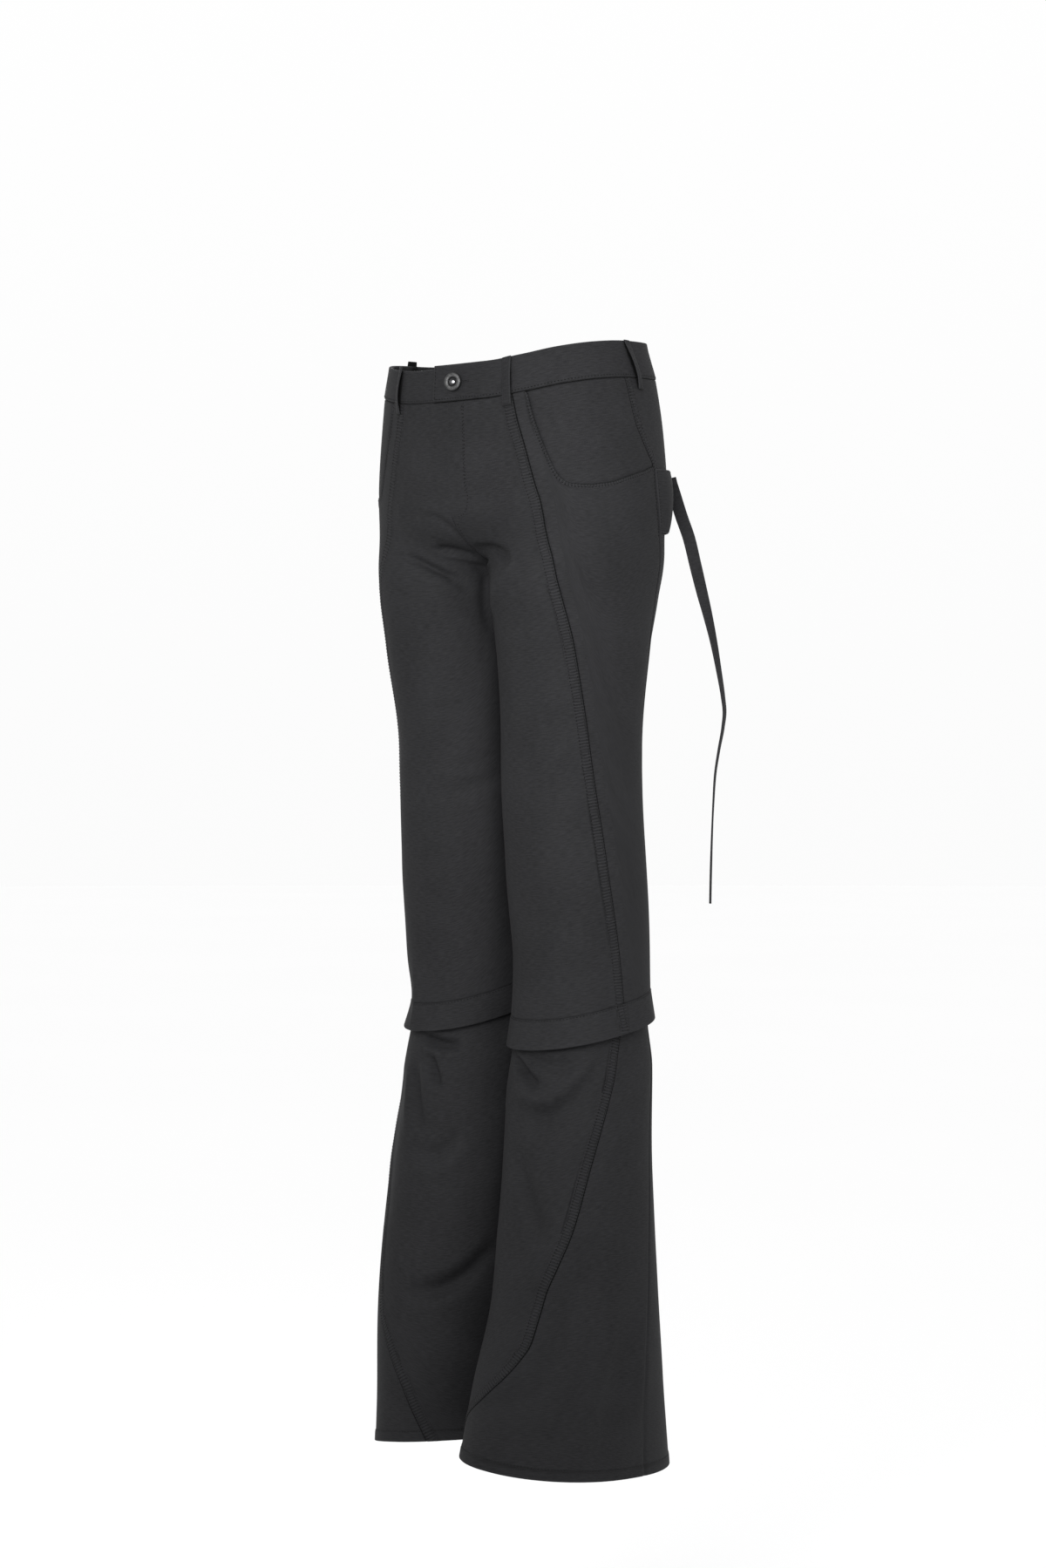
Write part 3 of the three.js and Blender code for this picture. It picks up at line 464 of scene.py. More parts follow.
# h, half width, front depth, back depth.
HIP_ROWS = (
    (40, 128, 100, 90),
    (19, 130, 100, 91.5),
    (-20, 139, 101, 101.5),
    (-70, 144.5, 101, 109),
    (-120, 147, 99, 114),
    (-170, 142, 97, 111),
    (-230, 141, 97, 104),
    (-300, 140, 96, 100),
)

# s, how far the waist dips or rises there.
WAIST_RISE = (
    (-1.1, -17), (-1, -17), (-0.83, -16.2), (-0.63, -11), (-0.45, -4.6), (-0.25, 0.6), (-0.05, 3.8),
    (0.15, 5.5), (0.5, 10), (1, 15), (1.1, 15),
)

# h, x, y, stride, x radius, y radius.
LEG_ROWS = (
    (-120, 75, 3, 0, 74, 100),
    (-170, 73, 2, 0, 68.5, 95),
    (-215, 69.5, -0.5, 0, 65, 88),
    (-256, 68, -1, 0, 65, 78),
    (-355, 63.5, 0.5, 0, 61.4, 66),
    (-462, 65, 5.5, 0, 62.2, 66),
    (-553, 67, 12.5, 0, 61.2, 64),
    (-645, 68, 12, -3.5, 62, 69),
    (-752, 71, 1.5, -2, 65.5, 73),
    (-860, 75, -2.5, -4.5, 69, 82),
    (-942, 75, 0.3, -17, 71, 104),
    (-1040, 77, 3.7, -32, 74.5, 125),
)


@dataclass(frozen=True)
class WornForm:
    """The smooth worn form: a hip ring that passes into two leg rings through the crotch."""

    rise_fade: float = 230.0
    hip_squareness: float = 2.2
    leg_squareness: float = 2.15
    crotch_start: float = -120.0
    crotch_seam: float = -182.0
    crotch_end: float = -215.0
    crotch_settle: float = 160.0
    crotch_spread: float = 60.0
    crotch_inner: float = 0.45
    rise: SmoothCurve = field(default_factory=lambda: column(WAIST_RISE, 1))
    hip_width: SmoothCurve = field(default_factory=lambda: column(HIP_ROWS, 1))
    hip_front: SmoothCurve = field(default_factory=lambda: column(HIP_ROWS, 2))
    hip_back: SmoothCurve = field(default_factory=lambda: column(HIP_ROWS, 3))
    leg: tuple = field(default_factory=lambda: tuple(column(LEG_ROWS, i) for i in range(1, 6)))

    def _leg_place(self, side: Array, s: Array, h: Array) -> tuple[Array, Array]:
        """The leg ring's x, counted outward, and y.

        Args:
            side: +1 or -1.
            s: how far round.
            h: the height.

        Returns:
            x and y.
        """
        x, y, stride, rx, ry = (curve(h) for curve in self.leg)
        angle = s * np.pi
        power = 2 / self.leg_squareness
        return (
            x + rx * signed_power(np.cos(angle), power),
            y + side * stride + ry * signed_power(np.sin(angle), power),
        )

    def inner(self, s: Array) -> Array:
        """How near a place is to the inner side, from 0 to 1."""
        return ease((np.abs(s) - self.crotch_inner) / (1 - self.crotch_inner))

    def point(self, side: Array, s: Array, h: Array) -> Array:
        """The form's point at a place, in millimetres.

        Args:
            side: +1 or -1.
            s: how far round.
            h: the height.

        Returns:
            The points, with x, y and z last.
        """
        side, s, h = np.broadcast_arrays(*(np.asarray(v, float) for v in (side, s, h)))
        inner = self.inner(s)
        down = np.clip((self.crotch_start - h) / (self.crotch_start - self.crotch_end), 0, 1)
        quarter = down * np.pi / 2
        share = lerp(ease(down), 1 - np.cos(quarter), inner)
        settled = ease((self.crotch_end - h) / self.crotch_settle)
        rounded = self.crotch_seam + (self.crotch_start - self.crotch_seam) * (1 - np.sin(quarter))
        height = np.where(h <= self.crotch_start, rounded, h)
        below = h + (self.crotch_seam - self.crotch_end) * (1 - settled)
        height = np.where(h <= self.crotch_end, below, height)
        half_turn = s * np.pi / 2
        power = 2 / self.hip_squareness
        depth = np.where(s < 0, self.hip_front(h), self.hip_back(h))
        hip_x = self.hip_width(h) * signed_power(np.cos(half_turn), power)
        hip_y = depth * signed_power(np.sin(half_turn), power)
        leg_x, leg_y = self._leg_place(side, s, h)
        closed = 1 - ease((self.crotch_end - h) / self.crotch_spread)
        leg_x = leg_x - self._leg_place(side, np.ones_like(s), h)[0] * inner * inner * closed
        x = lerp(hip_x, leg_x, share)
        x = np.where(h > self.crotch_end, np.maximum(x, 0), x)
        y = lerp(hip_y, leg_y, share)
        fade = np.where(h > 0, 1.0, ease((h + self.rise_fade) / self.rise_fade))
        z = lerp(h, height, inner) + self.rise(s) * fade
        return np.stack([side * x, y, z], axis=-1)

    def beyond(self, side: Array, s: Array, h: Array) -> Array:
        """The form carried on past centre front, centre back or the inseam.

        Args:
            side: +1 or -1.
            s: how far round.
            h: the height.

        Returns:
            The points.
        """
        side, s, h = np.broadcast_arrays(*(np.asarray(v, float) for v in (side, s, h)))
        past = np.abs(s) > 1
        above = h > self.crotch_end
        mirrored = 2 * np.sign(s) - s
        wrapped = s - 2 * np.sign(s)
        new_s = np.where(past, np.where(above, mirrored, wrapped), s)
        return self.point(np.where(past & above, -side, side), new_s, h)

    def slopes(self, side: Array, s: Array, h: Array) -> tuple[Array, Array]:
        """How the point moves for one unit of s and for one millimetre of h.

        Args:
            side: +1 or -1.
            s: how far round.
            h: the height.

        Returns:
            Both slopes, as vectors.
        """
        ds, dh = 0.01, 2.0
        along = self.beyond(side, s + ds, h) - self.beyond(side, s - ds, h)
        up = self.beyond(side, s, h + dh) - self.beyond(side, s, h - dh)
        return along / (2 * ds), up / (2 * dh)

    def normal(self, side: Array, s: Array, h: Array) -> Array:
        """The outward direction at a place.

        Args:
            side: +1 or -1.
            s: how far round.
            h: the height.

        Returns:
            Unit vectors.
        """
        along, up = self.slopes(side, s, h)
        out = np.cross(along, up) * np.asarray(side, float)[..., None]
        return out / np.linalg.norm(out, axis=-1, keepdims=True)

    def breadth(self, h: Array) -> Array:
        """Millimetres for one unit of s at height h.

        Args:
            h: the height.

        Returns:
            The breadth there.
        """
        on_leg = np.pi * (self.leg[3](h) + self.leg[4](h)) / 2
        on_hip = np.pi * (self.hip_width(h) + self.hip_front(h)) / 4
        return lerp(on_hip, on_leg, ease((self.crotch_start - h) / (self.crotch_start - self.crotch_end)))


FORM = WornForm()


@dataclass(frozen=True)
class Fold:
    """A fold from one place by way of another to a third: a trough, or a ridge if depth is below 0.

    `lip` is the share of the depth that stands up as soft ridges beside it.
    """

    half: Half
    s0: float
    h0: float
    s1: float
    h1: float
    s2: float
    h2: float
    width: float
    depth: float
    lip: float = 0.0

    def lift(self, s: Array, h: Array, steps: int = 8) -> Array:
        """How far the fold moves each place out, in millimetres.

        Args:
            s: how far round.
            h: the height.
            steps: how finely the fold's line is followed.

        Returns:
            The lift at each place.
        """
        t = np.linspace(0, 1, steps + 1)
        u = 1 - t
        line_s = u * u * self.s0 + 2 * u * t * self.s1 + t * t * self.s2
        line_h = u * u * self.h0 + 2 * u * t * self.h1 + t * t * self.h2
        scale = FORM.breadth((self.h0 + self.h2) / 2)
        nearest = np.full(s.shape, np.inf)
        along = np.zeros(s.shape)
        for i in range(steps):
            ex, ey = (line_s[i + 1] - line_s[i]) * scale, line_h[i + 1] - line_h[i]
            px, py = (s - line_s[i]) * scale, h - line_h[i]
            k = np.clip((px * ex + py * ey) / (ex * ex + ey * ey), 0, 1)
            distance = np.hypot(px - k * ex, py - k * ey)
            closer = distance < nearest
            nearest = np.where(closer, distance, nearest)
            along = np.where(closer, (i + k) / steps, along)
        fade = np.sqrt(np.maximum(0, np.sin(np.pi * along)))
        trough = np.exp(-((nearest / self.width) ** 2))
        lips = np.exp(-(((nearest - 2 * self.width) / self.width) ** 2))
        return -self.depth * fade * (trough - self.lip * lips)


L, R = Half.LEFT, Half.RIGHT

# The folds that the solids have too: half, s0, h0, s1, h1, s2, h2, width, depth, lip.
MAIN_FOLDS = (
    (R, -0.7, -129, -0.87, -126, -0.98, -150, 8, 2.4),
    (R, -0.83, -166, -0.9, -169, -0.99, -180, 7, 5),
    (R, -0.6, -172, -0.72, -184, -0.8, -232, 9, 4),
    (L, -0.97, -176, -0.8, -166, -0.6, -186, 9, 4),
    (L, -0.56, -184, -0.62, -212, -0.74, -240, 11, -3),
    (L, -0.66, -645, -0.58, -650, -0.46, -668, 9, 4),
    (L, -0.63, -668, -0.46, -694, -0.2, -636, 9, -4),
    (L, -0.66, -690, -0.45, -718, -0.24, -672, 13, 4),
    (R, -0.47, -629, -0.55, -633, -0.66, -632, 7, 4),
    (R, -0.5, -640, -0.53, -660, -0.58, -672, 7, 3),
    (R, -0.42, -650, -0.44, -700, -0.64, -738, 13, 4),
    (R, -0.54, -864, -0.72, -866, -0.92, -842, 12, 5),
    (R, -0.95, -690, -0.9, -760, -0.86, -830, 20, -4),
    (L, -0.62, -700, -0.52, -760, -0.42, -812, 15, 3.5),
    (L, -0.24, -800, -0.2, -860, -0.17, -960, 18, 3.5),
    (L, -0.02, -850, -0.05, -910, -0.07, -990, 18, 3.5),
    (L, 0.52, -560, 0.66, -590, 0.86, -560, 15, 4),
    (R, 0.5, -575, 0.68, -560, 0.88, -580, 15, 4),
    (L, 0.4, -690, 0.6, -660, 0.82, -700, 15, 4),
    (R, 0.36, -668, 0.56, -700, 0.8, -676, 15, 4),
    (L, 0.6, -205, 0.75, -215, 0.95, -188, 13, 4),
    (R, 0.56, -212, 0.74, -208, 0.95, -190, 13, 4),
    (L, 0.44, -830, 0.5, -900, 0.47, -1000, 20, 4),
    (R, 0.36, -800, 0.4, -880, 0.45, -990, 20, 4),
    (R, 0.02, -820, 0, -900, -0.04, -980, 18, 3),
    (R, -0.38, -590, -0.2, -592, -0.02, -590, 30, 6),
)

# Finer creases of the cloth alone.
FINE_FOLDS = (
    (R, -0.86, -131, -0.975, -129, -0.997, -160, 3.2, 2.2, 0.3),
    (R, -0.805, -170, -0.87, -168, -0.96, -184, 3.8, 4.2, 0.35),
    (R, -0.5, -175, -0.72, -166, -0.77, -226, 4.2, 2.8, 0.3),
    (R, -0.9, -194, -0.83, -232, -0.87, -268, 6.0, 3.5),
    (R, -0.84, -250, -0.84, -400, -0.84, -570, 15.0, -3.5),
    (R, -0.52, -321, -0.63, -317, -0.76, -322, 5.0, 1.1, 0.3),
    (R, -0.62, -376, -0.75, -367, -0.86, -365, 6.0, 1.1, 0.3),
    (R, -0.57, -399, -0.74, -391, -0.88, -382, 8.0, 1.7, 0.3),
    (L, -0.99, -171, -0.8, -167, -0.58, -186, 4.6, 3.0, 0.3),
    (L, -0.55, -190, -0.58, -212, -0.72, -245, 5.0, -2.4, 0.2),
    (L, -0.9, -188, -0.89, -218, -0.87, -292, 15.0, -9.0),
    (L, -0.3, -320, -0.4, -342, -0.53, -376, 9.0, 1.7, 0.3),
    (L, -0.26, -346, -0.38, -370, -0.53, -402, 9.0, -1.5, 0.2),
    (L, -0.67, -642, -0.57, -652, -0.47, -668, 4.4, 6.0, 0.4),
    (L, -0.55, -672, -0.4, -704, -0.21, -636, 6.0, -4.5, 0.2),
    (L, -0.57, -722, -0.49, -766, -0.41, -812, 8.0, 3.6, 0.4),
    (L, -0.443, -849, -0.43, -853, -0.412, -860, 5.0, 1.4, 0.4),
    (L, -0.188, -806, -0.175, -846, -0.165, -886, 11.0, 1.6, 0.4),
    (L, -0.26, -862, -0.25, -900, -0.242, -939, 11.0, 1.6, 0.4),
    (L, -0.002, -879, -0.03, -912, -0.068, -945, 11.0, 1.4, 0.4),
    (L, -0.222, -805, -0.3, -900, -0.35, -978, 14.0, 3.2, 0.3),
    (L, 0.01, -905, -0.042, -950, -0.1, -1008, 12.0, 3.0, 0.3),
    (L, -0.13, -856, -0.175, -930, -0.22, -988, 12.0, 2.4, 0.3),
    (R, -0.46, -626, -0.56, -639, -0.67, -634, 4.2, 6.2, 0.4),
    (R, -0.51, -646, -0.54, -661, -0.58, -676, 4.2, 5.6, 0.4),
    (R, -0.42, -656, -0.44, -688, -0.5, -716, 6.5, 4.6, 0.4),
    (R, -0.7, -716, -0.6, -756, -0.48, -726, 8.0, 4.2, 0.4),
    (R, -0.52, -866, -0.744, -869, -0.9, -820, 7.0, 4.2, 0.4),
    (L, -0.54, -640, -0.4, -654, -0.26, -642, 5.5, 2.6, 0.5),
    (L, -0.7, -690, -0.74, -740, -0.7, -800, 16.0, 1.8, 0.3),
    (R, -0.3, -660, -0.28, -740, -0.32, -810, 14.0, 1.8, 0.3),
    (L, -0.62, -250, -0.5, -300, -0.42, -380, 22.0, 1.2, 0.3),
    (R, -0.7, -250, -0.56, -310, -0.5, -400, 22.0, 1.2, 0.3),
    (L, -0.5, -470, -0.6, -520, -0.72, -560, 18.0, 1.2, 0.3),
    (R, -0.35, -440, -0.5, -500, -0.62, -560, 18.0, 1.2, 0.3),
    (L, 0.55, -196, 0.72, -206, 0.9, -180, 5.0, 1.8, 0.4),
    (R, 0.52, -204, 0.7, -198, 0.9, -180, 5.0, 1.8, 0.4),
    (L, 0.5, -545, 0.62, -566, 0.8, -548, 7.0, 1.8, 0.4),
    (R, 0.52, -560, 0.66, -545, 0.84, -566, 7.0, 1.8, 0.4),
    (L, 0.38, -665, 0.56, -648, 0.8, -682, 7.0, 1.8, 0.4),
    (R, 0.34, -650, 0.52, -676, 0.78, -658, 7.0, 1.8, 0.4),
    (L, 0.3, -240, 0.42, -300, 0.52, -380, 20.0, 1.2, 0.3),
    (R, 0.32, -250, 0.4, -310, 0.55, -390, 20.0, 1.2, 0.3),
)


@dataclass(frozen=True)
class Cloth:
    """The worn form with its folds and the cloth's slight unevenness."""

    folds: tuple = field(default_factory=lambda: tuple(Fold(*row) for row in MAIN_FOLDS + FINE_FOLDS))
    swell: float = 0.22
    meeting: float = 0.15

    def uneven(self, side: float, s: Array, h: Array) -> Array:
        """A low swell that no two stretches of the cloth share.

        Args:
            side: +1 or -1.
            s: how far round.
            h: the height.

        Returns:
            The swell.
        """
        across = s * 190 + side * 31
        waves = ((0.021, 0.017, 0.4), (-0.034, 0.026, 1.9), (0.011, -0.047, 3.1), (0.058, 0.041, 5.0))
        swell = self.swell * ease((1 - np.abs(s)) / self.meeting)
        return swell * sum(np.sin(a * across + b * h + c) for a, b, c in waves)

    def lift(self, side: float, s: Array, h: Array) -> Array:
        """How far folds and unevenness move each place out."""
        own = (fold for fold in self.folds if fold.half.value == side)
        return sum((fold.lift(s, h) for fold in own), self.uneven(side, s, h))

    def lay(self, side: float, s: Array, h: Array, out: Array = 0.0) -> tuple[Array, Array]:
        """Points of the cloth and their outward directions.

        Args:
            side: +1 or -1.
            s: the places round the form.
            h: the places' heights.
            out: how far the points stand out.

        Returns:
            The points and the directions.
        """
        normal = FORM.normal(side, s, h)
        lifted = np.asarray(out) + self.lift(side, s, h)
        return FORM.point(side, s, h) + normal * lifted[..., None], normal


CLOTH = Cloth()


# ---- lines on the cloth


@dataclass
class Track:
    """A line drawn on the cloth of one half, as places in order.

    `reach` is how far from the line the cloth still puckers.
    """

    side: float
    s: Array
    h: Array
    reach: float = 11.0

    def frame(self) -> tuple[Array, Array, Array, Array]:
        """The line's points, its directions, the directions to its front side, and the way run."""
        points = FORM.point(self.side, self.s, self.h)
        along = np.gradient(points, axis=0)
        along /= np.linalg.norm(along, axis=1, keepdims=True)
        sideways = self.side * np.cross(along, FORM.normal(self.side, self.s, self.h))
        steps = np.linalg.norm(np.diff(points, axis=0), axis=1)
        return points, along, sideways, np.concatenate([[0.0], np.cumsum(steps)])

    def moved(self, distance: float) -> "Track":
        """The line moved over the cloth.

        Args:
            distance: how far, to its front side where above 0.

        Returns:
            The moved line.
        """
        _, _, sideways, _ = self.frame()
        by_s, by_h = FORM.slopes(self.side, self.s, self.h)
        e, f, g = (by_s * by_s).sum(1), (by_s * by_h).sum(1), (by_h * by_h).sum(1)
        p, q = (by_s * sideways).sum(1) * distance, (by_h * sideways).sum(1) * distance
        scale = e * g - f * f
        return Track(self.side, self.s + (p * g - q * f) / scale, self.h + (q * e - p * f) / scale)

    def cut(self, low: float, high: float) -> "Track":
        """The part of the line between two heights."""
        kept = (self.h >= low) & (self.h <= high)
        return Track(self.side, self.s[kept], self.h[kept])

    def near(self, points: Array) -> tuple[Array, Array]:
        """Measures points against the line.

        Args:
            points: points in millimetres, in an array of any shape.

        Returns:
            How far each lies to the line's front side, and how far along it.
        """
        line, along, sideways, way = self.frame()
        flat = points.reshape(-1, 3)
        nearest = np.empty(len(flat), int)
        gap = np.empty(len(flat))
        for start in range(0, len(flat), 4000):
            chunk = flat[start : start + 4000]
            squares = ((chunk[:, None] - line[None]) ** 2).sum(2)
            nearest[start : start + 4000] = squares.argmin(1)
            gap[start : start + 4000] = np.sqrt(squares.min(1))
        away = flat - line[nearest]
        sign = np.where((away * sideways[nearest]).sum(1) < 0, -1.0, 1.0)
        run = way[nearest] + (away * along[nearest]).sum(1)
        return (sign * gap).reshape(points.shape[:-1]), run.reshape(points.shape[:-1])


def seam_down(side: float, rows: Sequence[tuple], high: float, low: float) -> Track:
    """A seam from a table of (h, s) rows, in even steps of height.

    Args:
        side: +1 or -1.
        rows: the seam's (h, s) rows.
        high: the height where it starts.
        low: the height where it ends.

    Returns:
        The seam, with a place about every 2 mm.
    """
    count = max(8, int((high - low) / 2))
    h = np.linspace(high, low, count)
    return Track(side, column(rows, 1)(h), h)


def through_places(side: float, rows: Sequence[tuple], count: int = 120) -> Track:
    """A smooth line through a table of (s, h) places in order.

    Args:
        side: +1 or -1.
        rows: the (s, h) places.
        count: how many places to return.

    Returns:
        The line.
    """
    at = np.linspace(0, len(rows) - 1, count)
    order = range(len(rows))
    return Track(
        side,
        SmoothCurve(order, [row[0] for row in rows])(at),
        SmoothCurve(order, [row[1] for row in rows])(at),
    )


def round_line(side: float, start: float, end: float, height: Callable, count: int = 160) -> Track:
    """A line round the leg, its height worked out from s."""
    s = np.linspace(start, end, count)
    return Track(side, s, height(s) + 0 * s)


# Seams of the upper leg as (h, s) rows, and the pocket mouth as (s, h) places.
FRONT_SEAM = (
    (-17.2, -0.698), (-42, -0.68), (-60, -0.66), (-77, -0.64), (-95, -0.622), (-112, -0.603),
    (-130, -0.573), (-147, -0.52), (-165, -0.445), (-181, -0.378), (-198, -0.325), (-213, -0.295),
    (-229, -0.28), (-245, -0.267), (-292, -0.232), (-335, -0.196), (-381, -0.167), (-457, -0.123),
    (-547, -0.085), (-587, -0.06), (-620, -0.035),
)
POCKET_MOUTH = (
    (-0.625, -17.2), (-0.601, -42), (-0.576, -60), (-0.553, -74), (-0.525, -89), (-0.495, -102),
    (-0.45, -109.5), (-0.387, -112.5), (-0.317, -113.5), (-0.213, -112.3), (-0.098, -107.5),
    (-0.003, -103), (0.103, -96.5),
)
MOUTH_LOW = min(row[1] for row in POCKET_MOUTH)
FACING_SEAM = ((-17.2, -0.066), (-30, -0.052), (-55, -0.022), (-70, 0.01), (-79, 0.037), (-96.5, 0.103))
SIDE_BACK_SEAM = (
    (-96.5, 0.103), (-116, 0.116), (-132, 0.135), (-147, 0.153), (-160, 0.16), (-178, 0.164),
    (-225, 0.175), (-287, 0.19), (-400, 0.27), (-620, 0.31),
)

# The seam that winds from the outer knee round the shin to the inner hem.
WINDING_START = (
    (-580, -0.04), (-621, -0.06), (-646, -0.085), (-680, -0.127), (-746, -0.213), (-801, -0.285),
)
WINDING_SEAM = {
    Half.LEFT: WINDING_START
    + ((-828, -0.335), (-856, -0.382), (-879, -0.398), (-899, -0.406), (-913, -0.432), (-931, -0.487),
       (-949, -0.565), (-969, -0.685), (-1000, -0.8), (-1025, -0.88)),
    Half.RIGHT: WINDING_START
    + ((-855, -0.315), (-889, -0.352), (-919, -0.436), (-946, -0.503), (-974, -0.562), (-1002, -0.623),
       (-1025, -0.67)),
}
CALF_SEAM = ((-600, 0.2), (-824, 0.105), (-917, 0.072), (-1040, 0.065))


@dataclass(frozen=True)
class Edges:
    """The heights of one leg's knee hem and trouser hem round the leg."""

    top: float
    top_swing: float
    bottom: float
    bottom_swing: float
    low_at: float
    hem: float = -1015.5
    hem_fore_aft: float = 7.5
    hem_outer: float = 8.5

    def knee_top(self, s: Array) -> Array:
        """The knee hem's stitched top edge."""
        return self.top - self.top_swing * np.cos(np.pi * (s - self.low_at))

    def knee_bottom(self, s: Array) -> Array:
        """The knee hem's free lower edge."""
        return self.bottom - self.bottom_swing * np.cos(np.pi * (s - self.low_at))

    def leg_hem(self, s: Array) -> Array:
        """The trouser hem's edge."""
        return self.hem - self.hem_fore_aft * np.sin(np.pi * s) - self.hem_outer * np.cos(np.pi * s)

    def meet(self, rows: Sequence[tuple], edge: Callable, start: float) -> float:
        """The height where a seam reaches one of the edges.

        Args:
            rows: the seam's (h, s) rows.
            edge: the edge's height as a function of s.
            start: a height near it.

        Returns:
            The height.
        """
        place = column(rows, 1)
        height = start
        for _ in range(2):
            height = float(edge(place(height)))
        return height


EDGES = {
    Half.LEFT: Edges(-591.5, 15, -619.5, 15, -0.56),
    Half.RIGHT: Edges(-578.5, 18, -605, 18, -0.42),
}
WAIST_TOP = 17.2
WAIST_SEAM = -17.2


@dataclass(frozen=True)
class LoopPlace:
    """Where one belt loop sits: its half, its middle, how it leans and which edge stands off."""

    node: str
    side: float
    middle: float
    lean: float
    tip: float
    top: float = 17.4
    bottom: float = -28.0
    width: float = 8.8

    def centre(self, h: Array) -> Array:
        """The middle of the loop at each height."""
        return self.middle + self.lean * ((self.top - h) / (self.top - self.bottom) - 0.5)

    def shade(self, side: Array, s: Array, h: Array) -> Array:
        """The painted shadow on the cloth under and just below the loop, from 0 to 1.

        Args:
            side: +1 or -1.
            s: how far round.
            h: the height.

        Returns:
            The painted shadow at each place.
        """
        away = np.abs(s - self.centre(h)) * FORM.breadth(h)
        covered = ease((self.width / 2 - away) / 1.2) * ease((h - self.bottom + 1.8) / 1.2)
        return (np.asarray(side) == self.side) * covered


LOOPS = (
    LoopPlace("belt_loop_front_left", 1, -0.716, -0.017, 0.7),
    LoopPlace("belt_loop_front_right", -1, -0.685, -0.01, -0.7),
    LoopPlace("belt_loop_side_left", 1, 0.011, 0.055, -0.7),
    LoopPlace("belt_loop_side_right", -1, 0.011, 0.055, -0.7),
    LoopPlace("belt_loop_back", 1, 1.0, 0.0, 0.0),
)


# ---- meshes


@dataclass
class Weft:
    """What each vertex of a piece carries for its material, each a vector.

    `weave` is the way across, the way down and a number of the piece's own, `seam` is how much the
    cloth puckers, the way along the row that puckers it and the painted shade of a seam's hollow, a
    sewn row or a belt loop over it, and `wear` is how rubbed it is, three times over.
    """

    weave: Array
    seam: Array
    wear: Array

    def write(self, mesh: bpy.types.Mesh) -> None:
        """Stores the three on the mesh's vertices."""
        for name, values in (("weave", self.weave), ("seam", self.seam), ("wear", self.wear)):
            layer = mesh.attributes.new(name, "FLOAT_VECTOR", "POINT")
            layer.data.foreach_set("vector", np.ascontiguousarray(values, np.float32).ravel())


def new_object(
    name: str, points: Array, faces: list, weft: Weft, material: bpy.types.Material
) -> bpy.types.Object:
    """Makes a smooth mesh object.

    Args:
        name: the piece's name.
        points: its vertices in millimetres.
        faces: its faces as lists of vertex numbers.
        weft: what its vertices carry.
        material: its finish.

    Returns:
        The object, linked to the scene.
    """
    mesh = bpy.data.meshes.new(name)
    mesh.from_pydata((points * MM).tolist(), [], faces)
    mesh.polygons.foreach_set("use_smooth", np.ones(len(mesh.polygons), bool))
    weft.write(mesh)
    mesh.materials.append(material)
    mesh.update()
    piece = bpy.data.objects.new(name, mesh)
    bpy.context.scene.collection.objects.link(piece)
    return piece


def grid_faces(rows: int, columns: int, start: int, ring: bool, flip: bool) -> Array:
    """The quads of a grid of vertices numbered row by row.

    Args:
        rows: how many rows.
        columns: how many columns.
        start: the first vertex's number.
        ring: joins the last column to the first.
        flip: turns the quads over.

    Returns:
        An array with four vertex numbers for each quad.
    """
    across = columns if ring else columns - 1
    i, j = np.meshgrid(np.arange(rows - 1), np.arange(across), indexing="ij")
    k = (j + 1) % columns
    quads = np.stack([i * columns + j, (i + 1) * columns + j, (i + 1) * columns + k, i * columns + k], -1)
    quads = quads.reshape(-1, 4) + start
    return quads[:, ::-1] if flip else quads


def rim_faces(rows: int, columns: int, ring: bool, flip: bool) -> Array:
    """The quads that join the borders of an outer grid to those of the inner grid after it.

    Args:
        rows: how many rows a grid has.
        columns: how many columns it has.
        ring: joins the last column to the first.
        flip: turns the quads over.

    Returns:
        An array with four vertex numbers for each quad.
    """
    layer = rows * columns
    loops = []
    if ring:
        for row, forward in ((0, True), (rows - 1, False)):
            line = row * columns + np.arange(columns)
            following = np.roll(line, -1)
            loops.append((line, following) if forward else (following, line))
    else:
        top = np.arange(columns)
        right = np.arange(rows) * columns + columns - 1
        bottom = (rows - 1) * columns + np.arange(columns)[::-1]
        left = (np.arange(rows) * columns)[::-1]
        border = np.concatenate([top[:-1], right[:-1], bottom[:-1], left[:-1]])
        loops.append((border, np.roll(border, -1)))
    quads = np.concatenate([np.stack([a, b, b + layer, a + layer], -1) for a, b in loops])
    return quads[:, ::-1] if flip else quads


def ways(points: Array) -> tuple[Array, Array]:
    """How far each grid point is along its row and down its column.

    Args:
        points: the grid's points.

    Returns:
        The ways across and the ways down.
    """
    across = np.linalg.norm(np.diff(points, axis=1), axis=2).cumsum(1)
    down = np.linalg.norm(np.diff(points, axis=0), axis=2).cumsum(0)
    return (
        np.pad(across, ((0, 0), (1, 0))),
        np.pad(down, ((1, 0), (0, 0))),
    )


